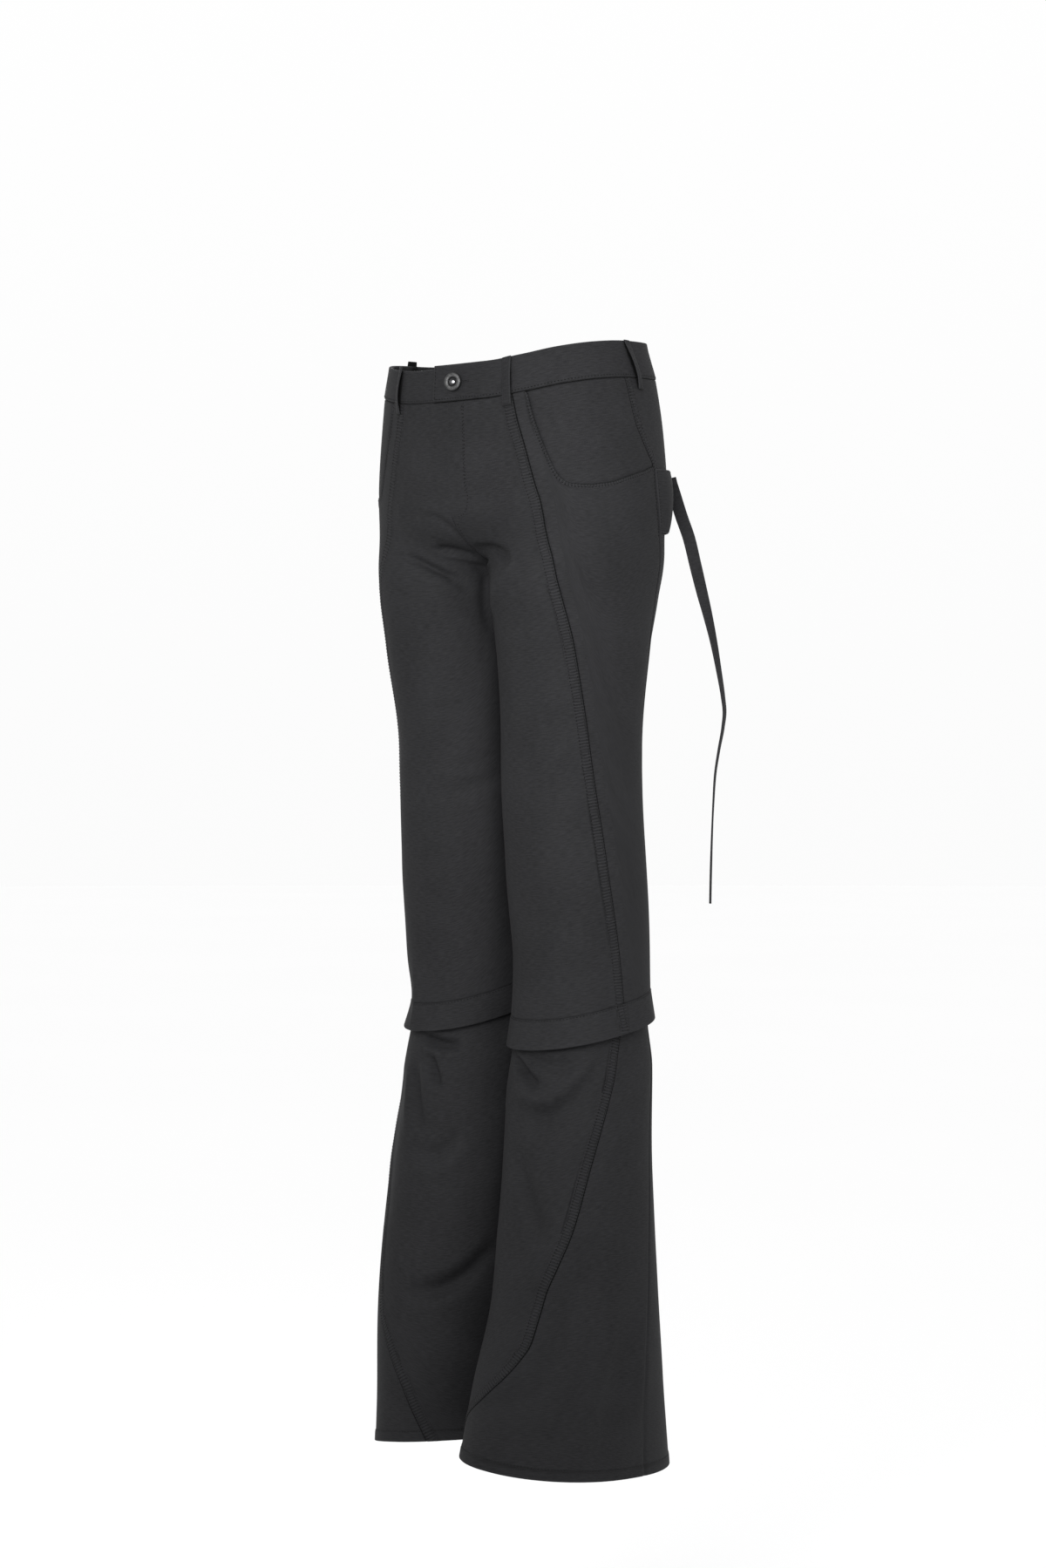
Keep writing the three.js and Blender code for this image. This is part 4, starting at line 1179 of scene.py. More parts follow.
@dataclass(frozen=True)
class EdgeStyle:
    """How a panel ends at one of its four edges.

    A seam rolls in by `roll` over `roll_width`, with painted shade in its hollow; a pressed allowance
    raises the cloth by `rise` over `rise_width`; a free edge is rounded to its thickness. `sewn_at` is
    how far from the edge a row of stitches runs, along which a line of painted shade lies, or 0 for none.
    """

    roll: float = 0.0
    roll_width: float = 0.7
    rise: float = 0.0
    rise_width: float = 9.0
    free: bool = False
    sewn_at: float = 0.0

    def shade(self, distance: Array) -> Array:
        """The painted shade in the edge's own hollow and in the hollow along a row sewn beside it.

        Args:
            distance: how far each point lies from the edge.

        Returns:
            The painted shade, from 0 to 1.
        """
        # Painted shade: a dark line in the seam's hollow, and another along the sewn row.
        width = 0.3 + 0.28 * self.roll
        dark = min(1.0, 0.8 * self.roll) * np.exp(-((distance / width) ** 2))
        if self.sewn_at:
            dark = dark + 0.5 * np.exp(-(((distance - self.sewn_at) / 0.9) ** 2))
        return dark

    def relief(self, distance: Array) -> Array:
        """How far the edge moves the cloth out at that distance from it."""
        raised = self.rise * (1 - ease((distance - self.rise_width) / 3.0))
        return raised - self.roll * np.exp(-((distance / self.roll_width) ** 2))


# Each rolled seam paints shade into its hollow, and TURNED_HEM paints a line of shade along its stitches.
PLAIN_SEAM = EdgeStyle(roll=1.0, roll_width=0.45)
UNDER_SEAM = EdgeStyle(roll=1.5, roll_width=0.4)
TOPSTITCHED = EdgeStyle(roll=0.9, roll_width=0.3, rise=0.6, rise_width=9.5)
FREE_EDGE = EdgeStyle(free=True)
TURNED_HEM = EdgeStyle(rise=0.7, rise_width=8.5, free=True, sewn_at=10.0)
NEAR_EDGE = (0.0, 0.25, 0.55, 1.0, 1.8, 3.2, 5.2, 7.6, 10.0, 12.6)


def spread(length: Array, pitch: float) -> Array:
    """Shares of the way across for each row: dense at both edges and even between.

    Args:
        length: how wide each row is.
        pitch: the spacing between the dense stretches, at the widest row.

    Returns:
        An array of shares, one row for each length.
    """
    near = np.array(NEAR_EDGE)
    room = np.maximum(length, 1e-6)[:, None]
    share = np.minimum(near[None] / room, near[None] / near[-1] * 0.33)
    middle = max(2, int(np.ceil((float(length.max()) - 2 * near[-1]) / pitch)))
    low, high = share[:, -1:], 1 - share[:, -1:]
    between = low + (high - low) * (np.arange(1, middle) / middle)[None]
    return np.concatenate([share, between, 1 - share[:, ::-1]], axis=1)


Places = tuple[Array, Array]


@dataclass
class Panel:
    """A cloth panel: a grid of places between four lines, laid on the worn form.

    `left` and `right` are sampled row by row; `top` and `bottom` are functions of the share
    across. `extra` moves the cloth out further, and `place` lays the grid another way.
    """

    name: str
    half: Half
    top: Callable[[Array], Places]
    bottom: Callable[[Array], Places]
    left: Places
    right: Places
    rows: Array
    pitch: float = 3.2
    styles: dict = field(default_factory=dict)
    seams: Sequence[Track] = ()
    extra: Union[Callable, None] = None
    place: Union[Callable, None] = None

    def way_across(self, row: int) -> float:
        """How long one row is over the form, in millimetres.

        Args:
            row: the row's number.

        Returns:
            Its length.
        """
        shares = np.linspace(0, 1, 41)
        s = lerp(self.left[0][row], self.right[0][row], shares)
        h = lerp(self.left[1][row], self.right[1][row], shares)
        points = FORM.point(self.half.value, s, h)
        return np.linalg.norm(np.diff(points, axis=0), axis=1).sum()

    def places(self) -> Places:
        """The grid's places, blended between the four lines."""
        side = self.half.value
        ends = FORM.point(side, *self.left), FORM.point(side, *self.right)
        chord = np.linalg.norm(ends[1] - ends[0], axis=1)
        sampled = (0, len(self.rows) // 2, len(self.rows) - 1)
        bulge = max(max(chord[i], self.way_across(i)) / max(chord[i], 1) for i in sampled)
        u = spread(np.maximum(chord * bulge, 4.0), self.pitch)
        v = self.rows[:, None]
        if self.place is not None:
            return self.place(u, v)
        grid = []
        for axis in (0, 1):
            top, bottom = self.top(u)[axis], self.bottom(u)[axis]
            left, right = self.left[axis][:, None], self.right[axis][:, None]
            corners = lerp(lerp(left[0], right[0], u), lerp(left[-1], right[-1], u), v)
            grid.append(lerp(left, right, u) + lerp(top, bottom, v) - corners)
        return grid[0], grid[1]

    def build(self, material: bpy.types.Material) -> "Shell":
        """Lays the panel on the form as a thin shell."""
        s, h = self.places()
        return lay_shell(
            self.name, self.half.value, s, h, material,
            styles=self.styles, seams=self.seams, extra=self.extra,
        )


@dataclass
class Shell:
    """A built piece of cloth: its object, its outer surface for sewing on, and its flat size."""

    piece: bpy.types.Object
    tree: BVHTree
    flat: tuple[float, float]
    area: float


def lay_shell(
    name: str,
    side: float,
    s: Array,
    h: Array,
    material: bpy.types.Material,
    styles: dict,
    seams: Sequence[Track] = (),
    thickness: float = 1.3,
    stand: float = 0.8,
    extra: Union[Callable, None] = None,
    ring: bool = False,
    wrong_side_and_shade: float = 0.0,
) -> Shell:
    """Makes a thin shell on the cloth over a grid of places.

    Args:
        name: the piece's name.
        side: +1 or -1, or an array of them for a piece that crosses the middle.
        s: the grid's places round the form.
        h: the grid's heights.
        material: the finish.
        styles: an EdgeStyle for any of left, right, top and bottom.
        seams: topstitched lines whose puckers the cloth shows.
        thickness: the cloth's thickness.
        stand: how far its outer face stands out from the form.
        extra: a function of (s, h, distances) that moves it out further.
        ring: joins the last column to the first.
        wrong_side_and_shade: how much painted shade darkens its inner face, from 0 to 1, mostly for the shade
            under a belt loop and partly for the cloth's darker wrong side; a piece with any gets no painted
            loop shadow.

    Returns:
        The shell.
    """
    base = FORM.point(side, s, h)
    across, down = ways(base)
    distances = {
        "left": across,
        "right": across[:, -1:] - across,
        "top": down,
        "bottom": down[-1:] - down,
    }
    relief = np.zeros(s.shape)
    # gap gathers painted shade: dark lines in seam hollows and along sewn rows, and the painted shadow under
    # the belt loops.
    gap = np.zeros(s.shape)
    half_thickness = np.full(s.shape, thickness / 2)
    wear = np.zeros(s.shape)
    for edge, style in styles.items():
        distance = distances[edge]
        relief += style.relief(distance)
        gap = np.maximum(gap, style.shade(distance))
        if style.free:
            inside = np.clip(distance / (thickness / 2), 0, 1)
            half_thickness *= np.sqrt(np.clip(1 - (1 - inside) ** 2, 0.02, 1))
            wear = np.maximum(wear, np.exp(-((distance / 1.2) ** 2)))
    if extra is not None:
        relief += extra(s, h, distances)
    if np.ndim(side):
        lift = np.where(side > 0, CLOTH.lift(1, s, h), CLOTH.lift(-1, s, h))
    else:
        lift = CLOTH.lift(side, s, h)
    normal = FORM.normal(side, s, h)
    middle = stand - thickness / 2 + relief + lift
    outer = base + normal * (middle + half_thickness)[..., None]
    inner = base + normal * (middle - half_thickness)[..., None]
    seam = np.zeros(s.shape + (3,))
    for track in seams:
        distance, run = track.near(base)
        band = ease((distance + 2.5) / 3.0) * ease((track.reach - distance) / 3.5)
        seam[..., 1] = np.where(band > seam[..., 0], run, seam[..., 1])
        seam[..., 0] = np.maximum(band, seam[..., 0])
    # Painted shadow that the belt loops cast on the cloth under them.
    for loop in LOOPS if not wrong_side_and_shade else ():
        gap = np.maximum(gap, loop.shade(side, s, h))
    seam[..., 2] = np.minimum(gap, 1)
    weave = np.stack([across, down, np.full(s.shape, float(sum(map(ord, name)) % 97))], -1)
    worn = np.stack([wear, wear, wear], -1)
    rows, columns = s.shape
    across_edge = np.cross(outer[1, 0] - outer[0, 0], outer[0, 1] - outer[0, 0])
    flip = float(across_edge @ normal[0, 0]) < 0
    rim = rim_faces(rows, columns, ring, flip)
    outer_faces = grid_faces(rows, columns, 0, ring, flip)
    inner_faces = grid_faces(rows, columns, rows * columns, ring, not flip)
    faces = np.concatenate([outer_faces, inner_faces, rim])
    points = np.concatenate([outer.reshape(-1, 3), inner.reshape(-1, 3)])
    # The inner face carries the same painted shade, and a belt loop's inner face is darkened fully, mostly as
    # painted shade under the loop and partly as the cloth's darker wrong side.
    inside = seam.copy()
    inside[..., 2] = np.maximum(inside[..., 2], wrong_side_and_shade)
    weft = Weft(*(
        np.concatenate([upper.reshape(-1, 3), under.reshape(-1, 3)])
        for upper, under in ((weave, weave), (seam, inside), (worn, worn))
    ))
    piece = new_object(name, points, faces.tolist(), weft, material)
    smooth = np.arange(len(faces)) < len(faces) - len(rim)
    piece.data.polygons.foreach_set("use_smooth", smooth)
    tree = BVHTree.FromPolygons(outer.reshape(-1, 3).tolist(), outer_faces.tolist())
    a, b, c, d = (points[outer_faces[:, k]] for k in range(4))
    area = float((np.linalg.norm(np.cross(c - a, d - b), axis=1) / 2).sum())
    flat = (float(across[:, -1].max()) * MM, float(down[-1].max()) * MM)
    if ring:
        flat = (float(across[:, -1].max() + np.linalg.norm(base[0, -1] - base[0, 0])) * MM, flat[1])
    return Shell(piece, tree, flat, min(area * MM * MM, flat[0] * flat[1]))


# ---- sewing


@dataclass(frozen=True)
class Stitch:
    """One kind of stitch: how far apart, how long and how thick."""

    pitch: float = 3.1
    share: float = 0.62
    radius: float = 0.42
    sunk: float = 0.2
    sides: int = 5


@dataclass
class Stitching:
    """Rows of stitches sewn on a shell, joined into one piece."""

    name: str
    shell: Shell
    thread: bpy.types.Material
    stitch: Stitch = Stitch()
    points: list = field(default_factory=list)
    faces: list = field(default_factory=list)
    weave: list = field(default_factory=list)
    count: int = 0

    def run(self, track: Track, stitch: Union[Stitch, None] = None) -> None:
        """Sews one row along a line.

        Args:
            track: the line.
            stitch: its stitch, if it isn't the piece's own.
        """
        stitch = stitch or self.stitch
        way = track.frame()[-1]
        number = int(way[-1] / stitch.pitch)
        if number < 1:
            return
        shares = np.array([-0.5, -0.2, 0.2, 0.5]) * stitch.share
        at = (np.arange(number)[:, None] + 0.5 + shares[None]) * (way[-1] / number)
        s = np.interp(at, way, track.s)
        h = np.interp(at, way, track.h)
        base = FORM.point(track.side, s, h)
        normal = FORM.normal(track.side, s, h)
        places = self._dropped(base, normal)
        along = places[:, -1] - places[:, 0]
        along /= np.maximum(np.linalg.norm(along, axis=1, keepdims=True), 1e-9)
        up = normal.mean(1)
        up -= (up * along).sum(1, keepdims=True) * along
        up /= np.linalg.norm(up, axis=1, keepdims=True)
        wide = np.cross(along, up)
        rise = np.array([-0.6, 0.35, 0.35, -0.6]) * stitch.radius - stitch.sunk
        size = np.array([0.45, 1.0, 1.0, 0.45]) * stitch.radius
        turn = np.linspace(0, math.tau, stitch.sides, endpoint=False)
        ring = np.cos(turn)[:, None, None, None], np.sin(turn)[:, None, None, None]
        centres = places + up[:, None] * rise[None, :, None]
        shape = centres[None] + size[None, None, :, None] * (
            ring[0] * wide[None, :, None] + ring[1] * up[None, :, None]
        )
        verts = shape.transpose(1, 2, 0, 3).reshape(-1, 3)
        per = 4 * stitch.sides
        starts = self.count + np.arange(number) * per
        one = grid_faces(4, stitch.sides, 0, True, False)
        self.faces += (one[None] + starts[:, None, None]).reshape(-1, 4).tolist()
        first, last = np.arange(stitch.sides), np.arange(stitch.sides)[::-1] + 3 * stitch.sides
        self.faces += (first[None] + starts[:, None]).tolist()
        self.faces += (last[None] + starts[:, None]).tolist()
        self.points.append(verts)
        run = np.repeat(at.reshape(-1), stitch.sides)
        round_way = np.tile(turn * stitch.radius, number * 4)
        self.weave.append(np.stack([run, round_way, 0 * run], -1))
        self.count += len(verts)

    def _dropped(self, base: Array, normal: Array) -> Array:
        """Points dropped from above on to the shell's outer face.

        Args:
            base: points on the worn form.
            normal: the outward direction at each.

        Returns:
            The points on the cloth.
        """
        reach = 14.0
        out = np.empty_like(base)
        for place in np.ndindex(base.shape[:-1]):
            start = base[place] + normal[place] * reach
            hit, _, _, _ = self.shell.tree.ray_cast(Vector(start), Vector(-normal[place]), 2 * reach)
            if hit is None:
                hit, _, _, _ = self.shell.tree.find_nearest(Vector(base[place]))
            out[place] = hit
        return out

    def build(self) -> bpy.types.Object:
        """Joins the rows into one object."""
        points = np.concatenate(self.points)
        zero = np.zeros_like(points)
        weft = Weft(np.concatenate(self.weave), zero, zero)
        piece = new_object(self.name, points, self.faces, weft, self.thread)
        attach(piece, "root")
        log.info("%s: %d vertices of stitches", self.name, len(points))
        return piece


# ---- the workshop


@dataclass
class Workshop:
    """The finishes, made once, and the step that puts each piece of cloth in place of its nodes."""

    twill: bpy.types.Material = field(default_factory=lambda: Twill().material("charcoal_twill"))
    thread: bpy.types.Material = field(default_factory=lambda: SewingThread().material("tonal_thread"))
    metal: bpy.types.Material = field(default_factory=lambda: PlatedMetal().material("gunmetal"))
    bright: bpy.types.Material = field(
        default_factory=lambda: PlatedMetal(0.62, 0.8, 0.22).material("bright_metal")
    )
    tape: bpy.types.Material = field(default_factory=lambda: ZipTapeWeave().material("black_tape"))

    def sheet(self, shell: Shell, *nodes: str, slot: str = "cloth") -> Shell:
        """Attaches a shell to the root in place of its nodes, which it hides, and logs its size.

        Args:
            shell: the shell.
            nodes: the nodes that it replaces.
            slot: not used.

        Returns:
            The same shell.
        """
        piece = shell.piece
        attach(piece, "root")
        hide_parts(*nodes)
        log.info("%s: %d faces, %.3f x %.3f m", piece.name, len(piece.data.polygons), *shell.flat)
        return shell


def rows_between(length: float, pitch: float = 3.2) -> Array:
    """Shares of the way down, dense at both ends."""
    return spread(np.array([length]), pitch)[0]


@dataclass
class UpperLeg:
    """The hip and thigh of one leg: front, side with its pocket mouth, facing and back."""

    half: Half
    fly_end: float = -132.0
    strip: float = 0.09
    share_span: float = 320.0
    mouth_reach: float = 5.0
    facing_tuck: float = 2.0

    def __post_init__(self) -> None:
        """Works out the seams."""
        side = self.half.value
        edges = EDGES[self.half]
        self.front_end = edges.meet(FRONT_SEAM, edges.knee_top, edges.top)
        self.back_end = edges.meet(SIDE_BACK_SEAM, edges.knee_top, edges.top)
        self.front_seam = seam_down(side, FRONT_SEAM, WAIST_SEAM, self.front_end)
        self.side_back = seam_down(side, SIDE_BACK_SEAM, FACING_SEAM[-1][0], self.back_end)
        self.facing_seam = seam_down(side, FACING_SEAM, WAIST_SEAM, FACING_SEAM[-1][0])
        self.mouth = through_places(side, POCKET_MOUTH)
        self.mouth.reach = self.mouth_reach

    def rows(self) -> Array:
        """Shares of the way down the whole upper leg, with one row at the crotch's end."""
        hip = WAIST_SEAM - FORM.crotch_end
        thigh = FORM.crotch_end - EDGES[self.half].top
        part = hip / (hip + thigh)
        upper = rows_between(hip)[: len(rows_between(hip)) - len(NEAR_EDGE) + 1]
        upper = np.append(upper[upper < 0.985], 1.0)
        lower = rows_between(thigh)
        lower = lower[lower > 0.006]
        return np.concatenate([upper * part, part + lower * (1 - part)])

    def build(self, shop: Workshop) -> None:
        """Builds and dresses the four panels.

        Args:
            shop: the finishes.
        """
        word = self.half.word
        front = self.front_panel().build(shop.twill)
        side = self.side_panel().build(shop.twill)
        facing = self.facing_panel().build(shop.twill)
        back = self.back_panel().build(shop.twill)
        for shell, name in ((front, "front"), (side, "side"), (facing, "pocket_facing"), (back, "back")):
            shop.sheet(shell, f"{name}_{word}")
        self.sew(shop, front, side, back)

    def heights(self, end: float) -> Array:
        """Heights down one edge of the upper leg, row by row.

        Args:
            end: the height where the edge ends.

        Returns:
            The heights.
        """
        rows = self.rows()
        hip = WAIST_SEAM - FORM.crotch_end
        part = hip / (hip + FORM.crotch_end - EDGES[self.half].top)
        above = lerp(WAIST_SEAM, FORM.crotch_end, rows / part)
        below = lerp(FORM.crotch_end, end, (rows - part) / (1 - part))
        return np.where(rows <= part, above, below)

    def front_panel(self) -> Panel:
        """The front, from centre front and the inseam to the front seam."""
        edges = EDGES[self.half]
        left = self.heights(float(edges.knee_top(-1.0)))
        right = self.heights(self.front_end)
        place = column(FRONT_SEAM, 1)
        top_s, low_s = float(place(WAIST_SEAM)), float(place(self.front_end))
        return Panel(
            f"cloth_front_{self.half.word}", self.half,
            top=lambda u: (lerp(-1.0, top_s, u), 0 * u + WAIST_SEAM),
            bottom=lambda u: (lerp(-1.0, low_s, u), edges.knee_top(lerp(-1.0, low_s, u))),
            left=(-np.ones_like(left), left),
            right=(place(right), right),
            rows=self.rows(),
            styles={"right": TOPSTITCHED, "top": PLAIN_SEAM, "bottom": EdgeStyle(0.45, 0.9)},
            seams=(self.front_seam,), extra=self.crotch_seam,
        )

    def crotch_seam(self, _: Array, h: Array, distances: dict) -> Array:
        """The crotch seam's dip, which starts where the fly's stitches end."""
        return -0.9 * np.exp(-((distances["left"] / 0.7) ** 2)) * ease((self.fly_end - h) / 8)

    def side_panel(self) -> Panel:
        """The side, from the front seam under the pocket mouth to the side back seam."""
        edges = EDGES[self.half]
        strip = self.strip
        left = self.heights(self.front_end)
        right = lerp(FACING_SEAM[-1][0], self.back_end, (left - left[0]) / (left[-1] - left[0]))
        front, back = column(FRONT_SEAM, 1), column(SIDE_BACK_SEAM, 1)
        places = range(len(POCKET_MOUTH))
        mouth_s = SmoothCurve(places, [row[0] for row in POCKET_MOUTH])
        mouth_h = SmoothCurve(places, [row[1] for row in POCKET_MOUTH])
        start_s, mouth_start = float(front(WAIST_SEAM)), POCKET_MOUTH[0][0]
        low_left, low_right = float(front(self.front_end)), float(back(self.back_end))

        def top(u: Array) -> Places:
            """The top edge: a short strip of waist seam, then the mouth."""
            t = np.clip((u - strip) / (1 - strip), 0, 1) * (len(POCKET_MOUTH) - 1)
            on_strip = u < strip
            return (
                np.where(on_strip, lerp(start_s, mouth_start, u / strip), mouth_s(t)),
                np.where(on_strip, WAIST_SEAM, mouth_h(t)),
            )

        def bottom(u: Array) -> Places:
            """The bottom edge, along the knee hem."""
            s = lerp(low_left, low_right, u)
            return s, edges.knee_top(s)

        def place(u: Array, _: Array) -> Places:
            """Columns that keep their share of the way between the two seams as they run down.

            Args:
                u: shares of the way across.

            Returns:
                The places.
            """
            (top_s, top_h), (low_s, low_h) = top(u), bottom(u)
            drop = ((left - left[0]) / (left[-1] - left[0]))[:, None]
            h = lerp(top_h, low_h, drop)
            share_top = (top_s - front(top_h)) / (back(top_h) - front(top_h))
            share_low = (low_s - front(low_h)) / (back(low_h) - front(low_h))
            share = lerp(share_top, share_low, ease((MOUTH_LOW - h) / self.share_span))
            s = lerp(front(h), back(h), share)
            s[:, 0], h[:, 0] = front(left), left
            s[:, -1], h[:, -1] = back(right), right
            return s, h

        return Panel(
            f"cloth_side_{self.half.word}", self.half, top, bottom,
            left=(front(left), left), right=(back(right), right), rows=self.rows(), place=place,
            styles={"left": UNDER_SEAM, "right": PLAIN_SEAM,
                    "top": EdgeStyle(1.0, 0.4, rise=0.45, rise_width=7.0),
                    "bottom": EdgeStyle(0.45, 0.9)},
            seams=(self.front_seam, self.mouth),
        )

    def facing_panel(self) -> Panel:
        """The pocket facing that shows inside the mouth, sunk under the mouth's edge."""
        under = self.mouth.moved(self.facing_tuck)
        half = len(under.s) // 2
        left = (under.s[: half + 1], under.h[: half + 1])
        rows = np.linspace(0, 1, 70)
        fine = np.linspace(0, 1, half + 1)
        left = (np.interp(rows, fine, left[0]), np.interp(rows, fine, left[1]))
        seam = column(FACING_SEAM, 1)
        right_h = lerp(WAIST_SEAM, FACING_SEAM[-1][0], rows)
        right = (seam(right_h), right_h)
        low = (under.s[half:], under.h[half:])
        low_share = np.linspace(0, 1, len(low[0]))
        top_ends = (left[0][0], right[0][0])
        return Panel(
            f"cloth_pocket_facing_{self.half.word}", self.half,
            top=lambda u: (lerp(top_ends[0], top_ends[1], u), 0 * u + WAIST_SEAM),
            bottom=lambda u: (np.interp(u, low_share, low[0]), np.interp(u, low_share, low[1])),
            left=left, right=right, rows=rows,
            styles={"left": EdgeStyle(1.7, 3.2), "bottom": EdgeStyle(1.7, 3.2), "top": PLAIN_SEAM,
                    "right": PLAIN_SEAM},
        )

    def back_panel(self) -> Panel:
        """The back, from the facing and side back seams to centre back and the inseam."""
        edges = EDGES[self.half]
        facing, back = column(FACING_SEAM, 1), column(SIDE_BACK_SEAM, 1)
        right = self.heights(float(edges.knee_top(1.0)))
        left = lerp(WAIST_SEAM, self.back_end, (right - right[0]) / (right[-1] - right[0]))
        corner = FACING_SEAM[-1][0]
        left_s = np.where(left > corner, facing(np.maximum(left, corner)), back(np.minimum(left, corner)))
        top_s, low_s = float(left_s[0]), float(left_s[-1])
        return Panel(
            f"cloth_back_{self.half.word}", self.half,
            top=lambda u: (lerp(top_s, 1.0, u), 0 * u + WAIST_SEAM),
            bottom=lambda u: (lerp(low_s, 1.0, u), edges.knee_top(lerp(low_s, 1.0, u))),
            left=(left_s, left), right=(np.ones_like(right), right), rows=self.rows(),
            styles={"left": EdgeStyle(0.8, 0.7, rise=0.35, rise_width=6.0), "right": EdgeStyle(0.5, 0.7),
                    "top": PLAIN_SEAM, "bottom": EdgeStyle(0.45, 0.9)},
            seams=(self.facing_seam.moved(-4.0),),
        )

    def sew(self, shop: Workshop, front: Shell, side: Shell, back: Shell) -> None:
        """Sews the rows of stitches that show.

        Args:
            shop: the finishes.
            front: the front panel.
            side: the side panel.
            back: the back panel.
        """
        word = self.half.word
        rows = Stitching(f"stitches_front_{word}", front, shop.thread)
        rows.run(self.front_seam.moved(1.7))
        rows.run(self.front_seam.moved(9.0))
        inseam = Track(self.half.value, np.full(180, -1.0), np.linspace(-224, self.front_end + 2, 180))
        rows.run(Track(inseam.side, inseam.s + 0.012, inseam.h))
        if self.half is Half.LEFT:
            self.sew_fly(rows)
        rows.build()
        rows = Stitching(f"stitches_side_{word}", side, shop.thread)
        rows.run(self.mouth.moved(2.7))
        rows.run(self.side_back.cut(-160, -94).moved(1.6))
        rows.build()
        rows = Stitching(f"stitches_back_{word}", back, shop.thread)
        rows.run(self.facing_seam.moved(-1.6))
        rows.run(self.facing_seam.moved(-6.5))
        seat = Track(self.half.value, np.full(90, 0.985), np.linspace(-21, -170, 90))
        rows.run(seat)
        rows.build()

    def sew_fly(self, rows: Stitching) -> None:
        """The fly's curved double row and the crotch seam's row under it.

        Args:
            rows: the front panel's stitches.
        """
        places = ((-0.933, -18.8), (-0.931, -60), (-0.929, -100), (-0.922, -115), (-0.926, -124),
                  (-0.945, -131), (-0.975, -134))
        line = through_places(1.0, places)
        rows.run(line)
        rows.run(line.moved(1.4).cut(-110, -19), Stitch(pitch=3.4))
        rows.run(Track(1.0, np.linspace(-0.986, -0.988, 30), np.linspace(-140, -172, 30)))


@dataclass
class KneeHem:
    """The turned hem at the knee of one leg and the zip tape hidden under it."""

    half: Half
    wall: float = 2.6
    columns: int = 190
    around: float = 190.0
    allowance: float = 12.0
    stand_off: float = 3.6

    def build(self, shop: Workshop) -> None:
        """Builds and dresses the hem and the tape.

        Args:
            shop: the finishes.
        """
        side, word = self.half.value, self.half.word
        edges = EDGES[self.half]
        s = np.linspace(-1, 1, self.columns, endpoint=False)
        seam_at = float(column(FRONT_SEAM, 1)(edges.bottom))
        near = seam_at + np.array([-0.012, -0.006, -0.003, 0.0, 0.003, 0.006, 0.012])
        s = np.sort(np.concatenate([s[np.abs(s - seam_at) > 0.016], near]))
        v = rows_between(abs(edges.bottom - edges.top), 2.0)
        places_s = np.broadcast_to(s, (len(v), len(s))).copy()
        places_h = lerp(edges.knee_top(s)[None], edges.knee_bottom(s)[None], v[:, None])
        seam = Track(side, column(FRONT_SEAM, 1)(np.linspace(-570, -640, 60)), np.linspace(-570, -640, 60))

        def flare(at: Array, _: Array, distances: dict) -> Array:
            """The hem stands off the leg towards its free edge, and dips at its seam.

            Args:
                at: the places round the half.
                distances: how far they lie from each edge.

            Returns:
                How far they stand off.
            """
            down = distances["top"] / distances["top"][-1:]
            share = lerp(1.0, 0.3, FORM.inner(at))
            dip = 0.8 * np.exp(-(((at - seam_at) * self.around / 0.7) ** 2))
            ahead = (seam_at - at) * self.around
            raised = 0.5 * ease(ahead) * (1 - ease(ahead / self.allowance - 0.8))
            return 0.2 + self.stand_off * down * share - dip + raised

        hem = lay_shell(
            f"cloth_knee_hem_{word}", side, places_s, places_h, shop.twill, ring=True,
            styles={"top": EdgeStyle(0.45, 0.9), "bottom": FREE_EDGE},
            seams=(seam,), thickness=self.wall, stand=0.9, extra=flare,
        )
        shop.sheet(hem, f"knee_hem_{word}")
        rows = Stitching(f"stitches_knee_hem_{word}", hem, shop.thread)
        top = round_line(side, -0.995, 0.995, lambda at: edges.knee_top(at) - 1.3, 400)
        rows.run(top)
        across = seam.cut(float(edges.knee_bottom(seam_at)) + 2, float(edges.knee_top(seam_at)) - 1)
        rows.run(across.moved(1.7))
        rows.run(across.moved(8.0))
        rows.build()
        self.build_tape(shop)

    def build_tape(self, shop: Workshop) -> None:
        """The zip's tape, tucked inside the hem.

        Args:
            shop: the finishes.
        """
        side, word = self.half.value, self.half.word
        edges = EDGES[self.half]
        s = np.linspace(-1, 1, 96, endpoint=False)
        v = np.linspace(0, 1, 7)[:, None]
        places_h = lerp(edges.knee_top(s)[None] - 6, edges.knee_bottom(s)[None] + 10, v)
        places_s = np.broadcast_to(s, places_h.shape).copy()

        def tucked(_: Array, __: Array, distances: dict) -> Array:
            """The tape leans in towards the lower leg."""
            return lerp(-2.2, -3.5, distances["top"] / distances["top"][-1:])

        tape = lay_shell(
            f"zip_tape_{word}", side, places_s, places_h, shop.tape, ring=True,
            styles={}, thickness=1.1, stand=0.5, extra=tucked,
        )
        shop.sheet(tape, f"knee_zip_{word}", slot="zip_tape")


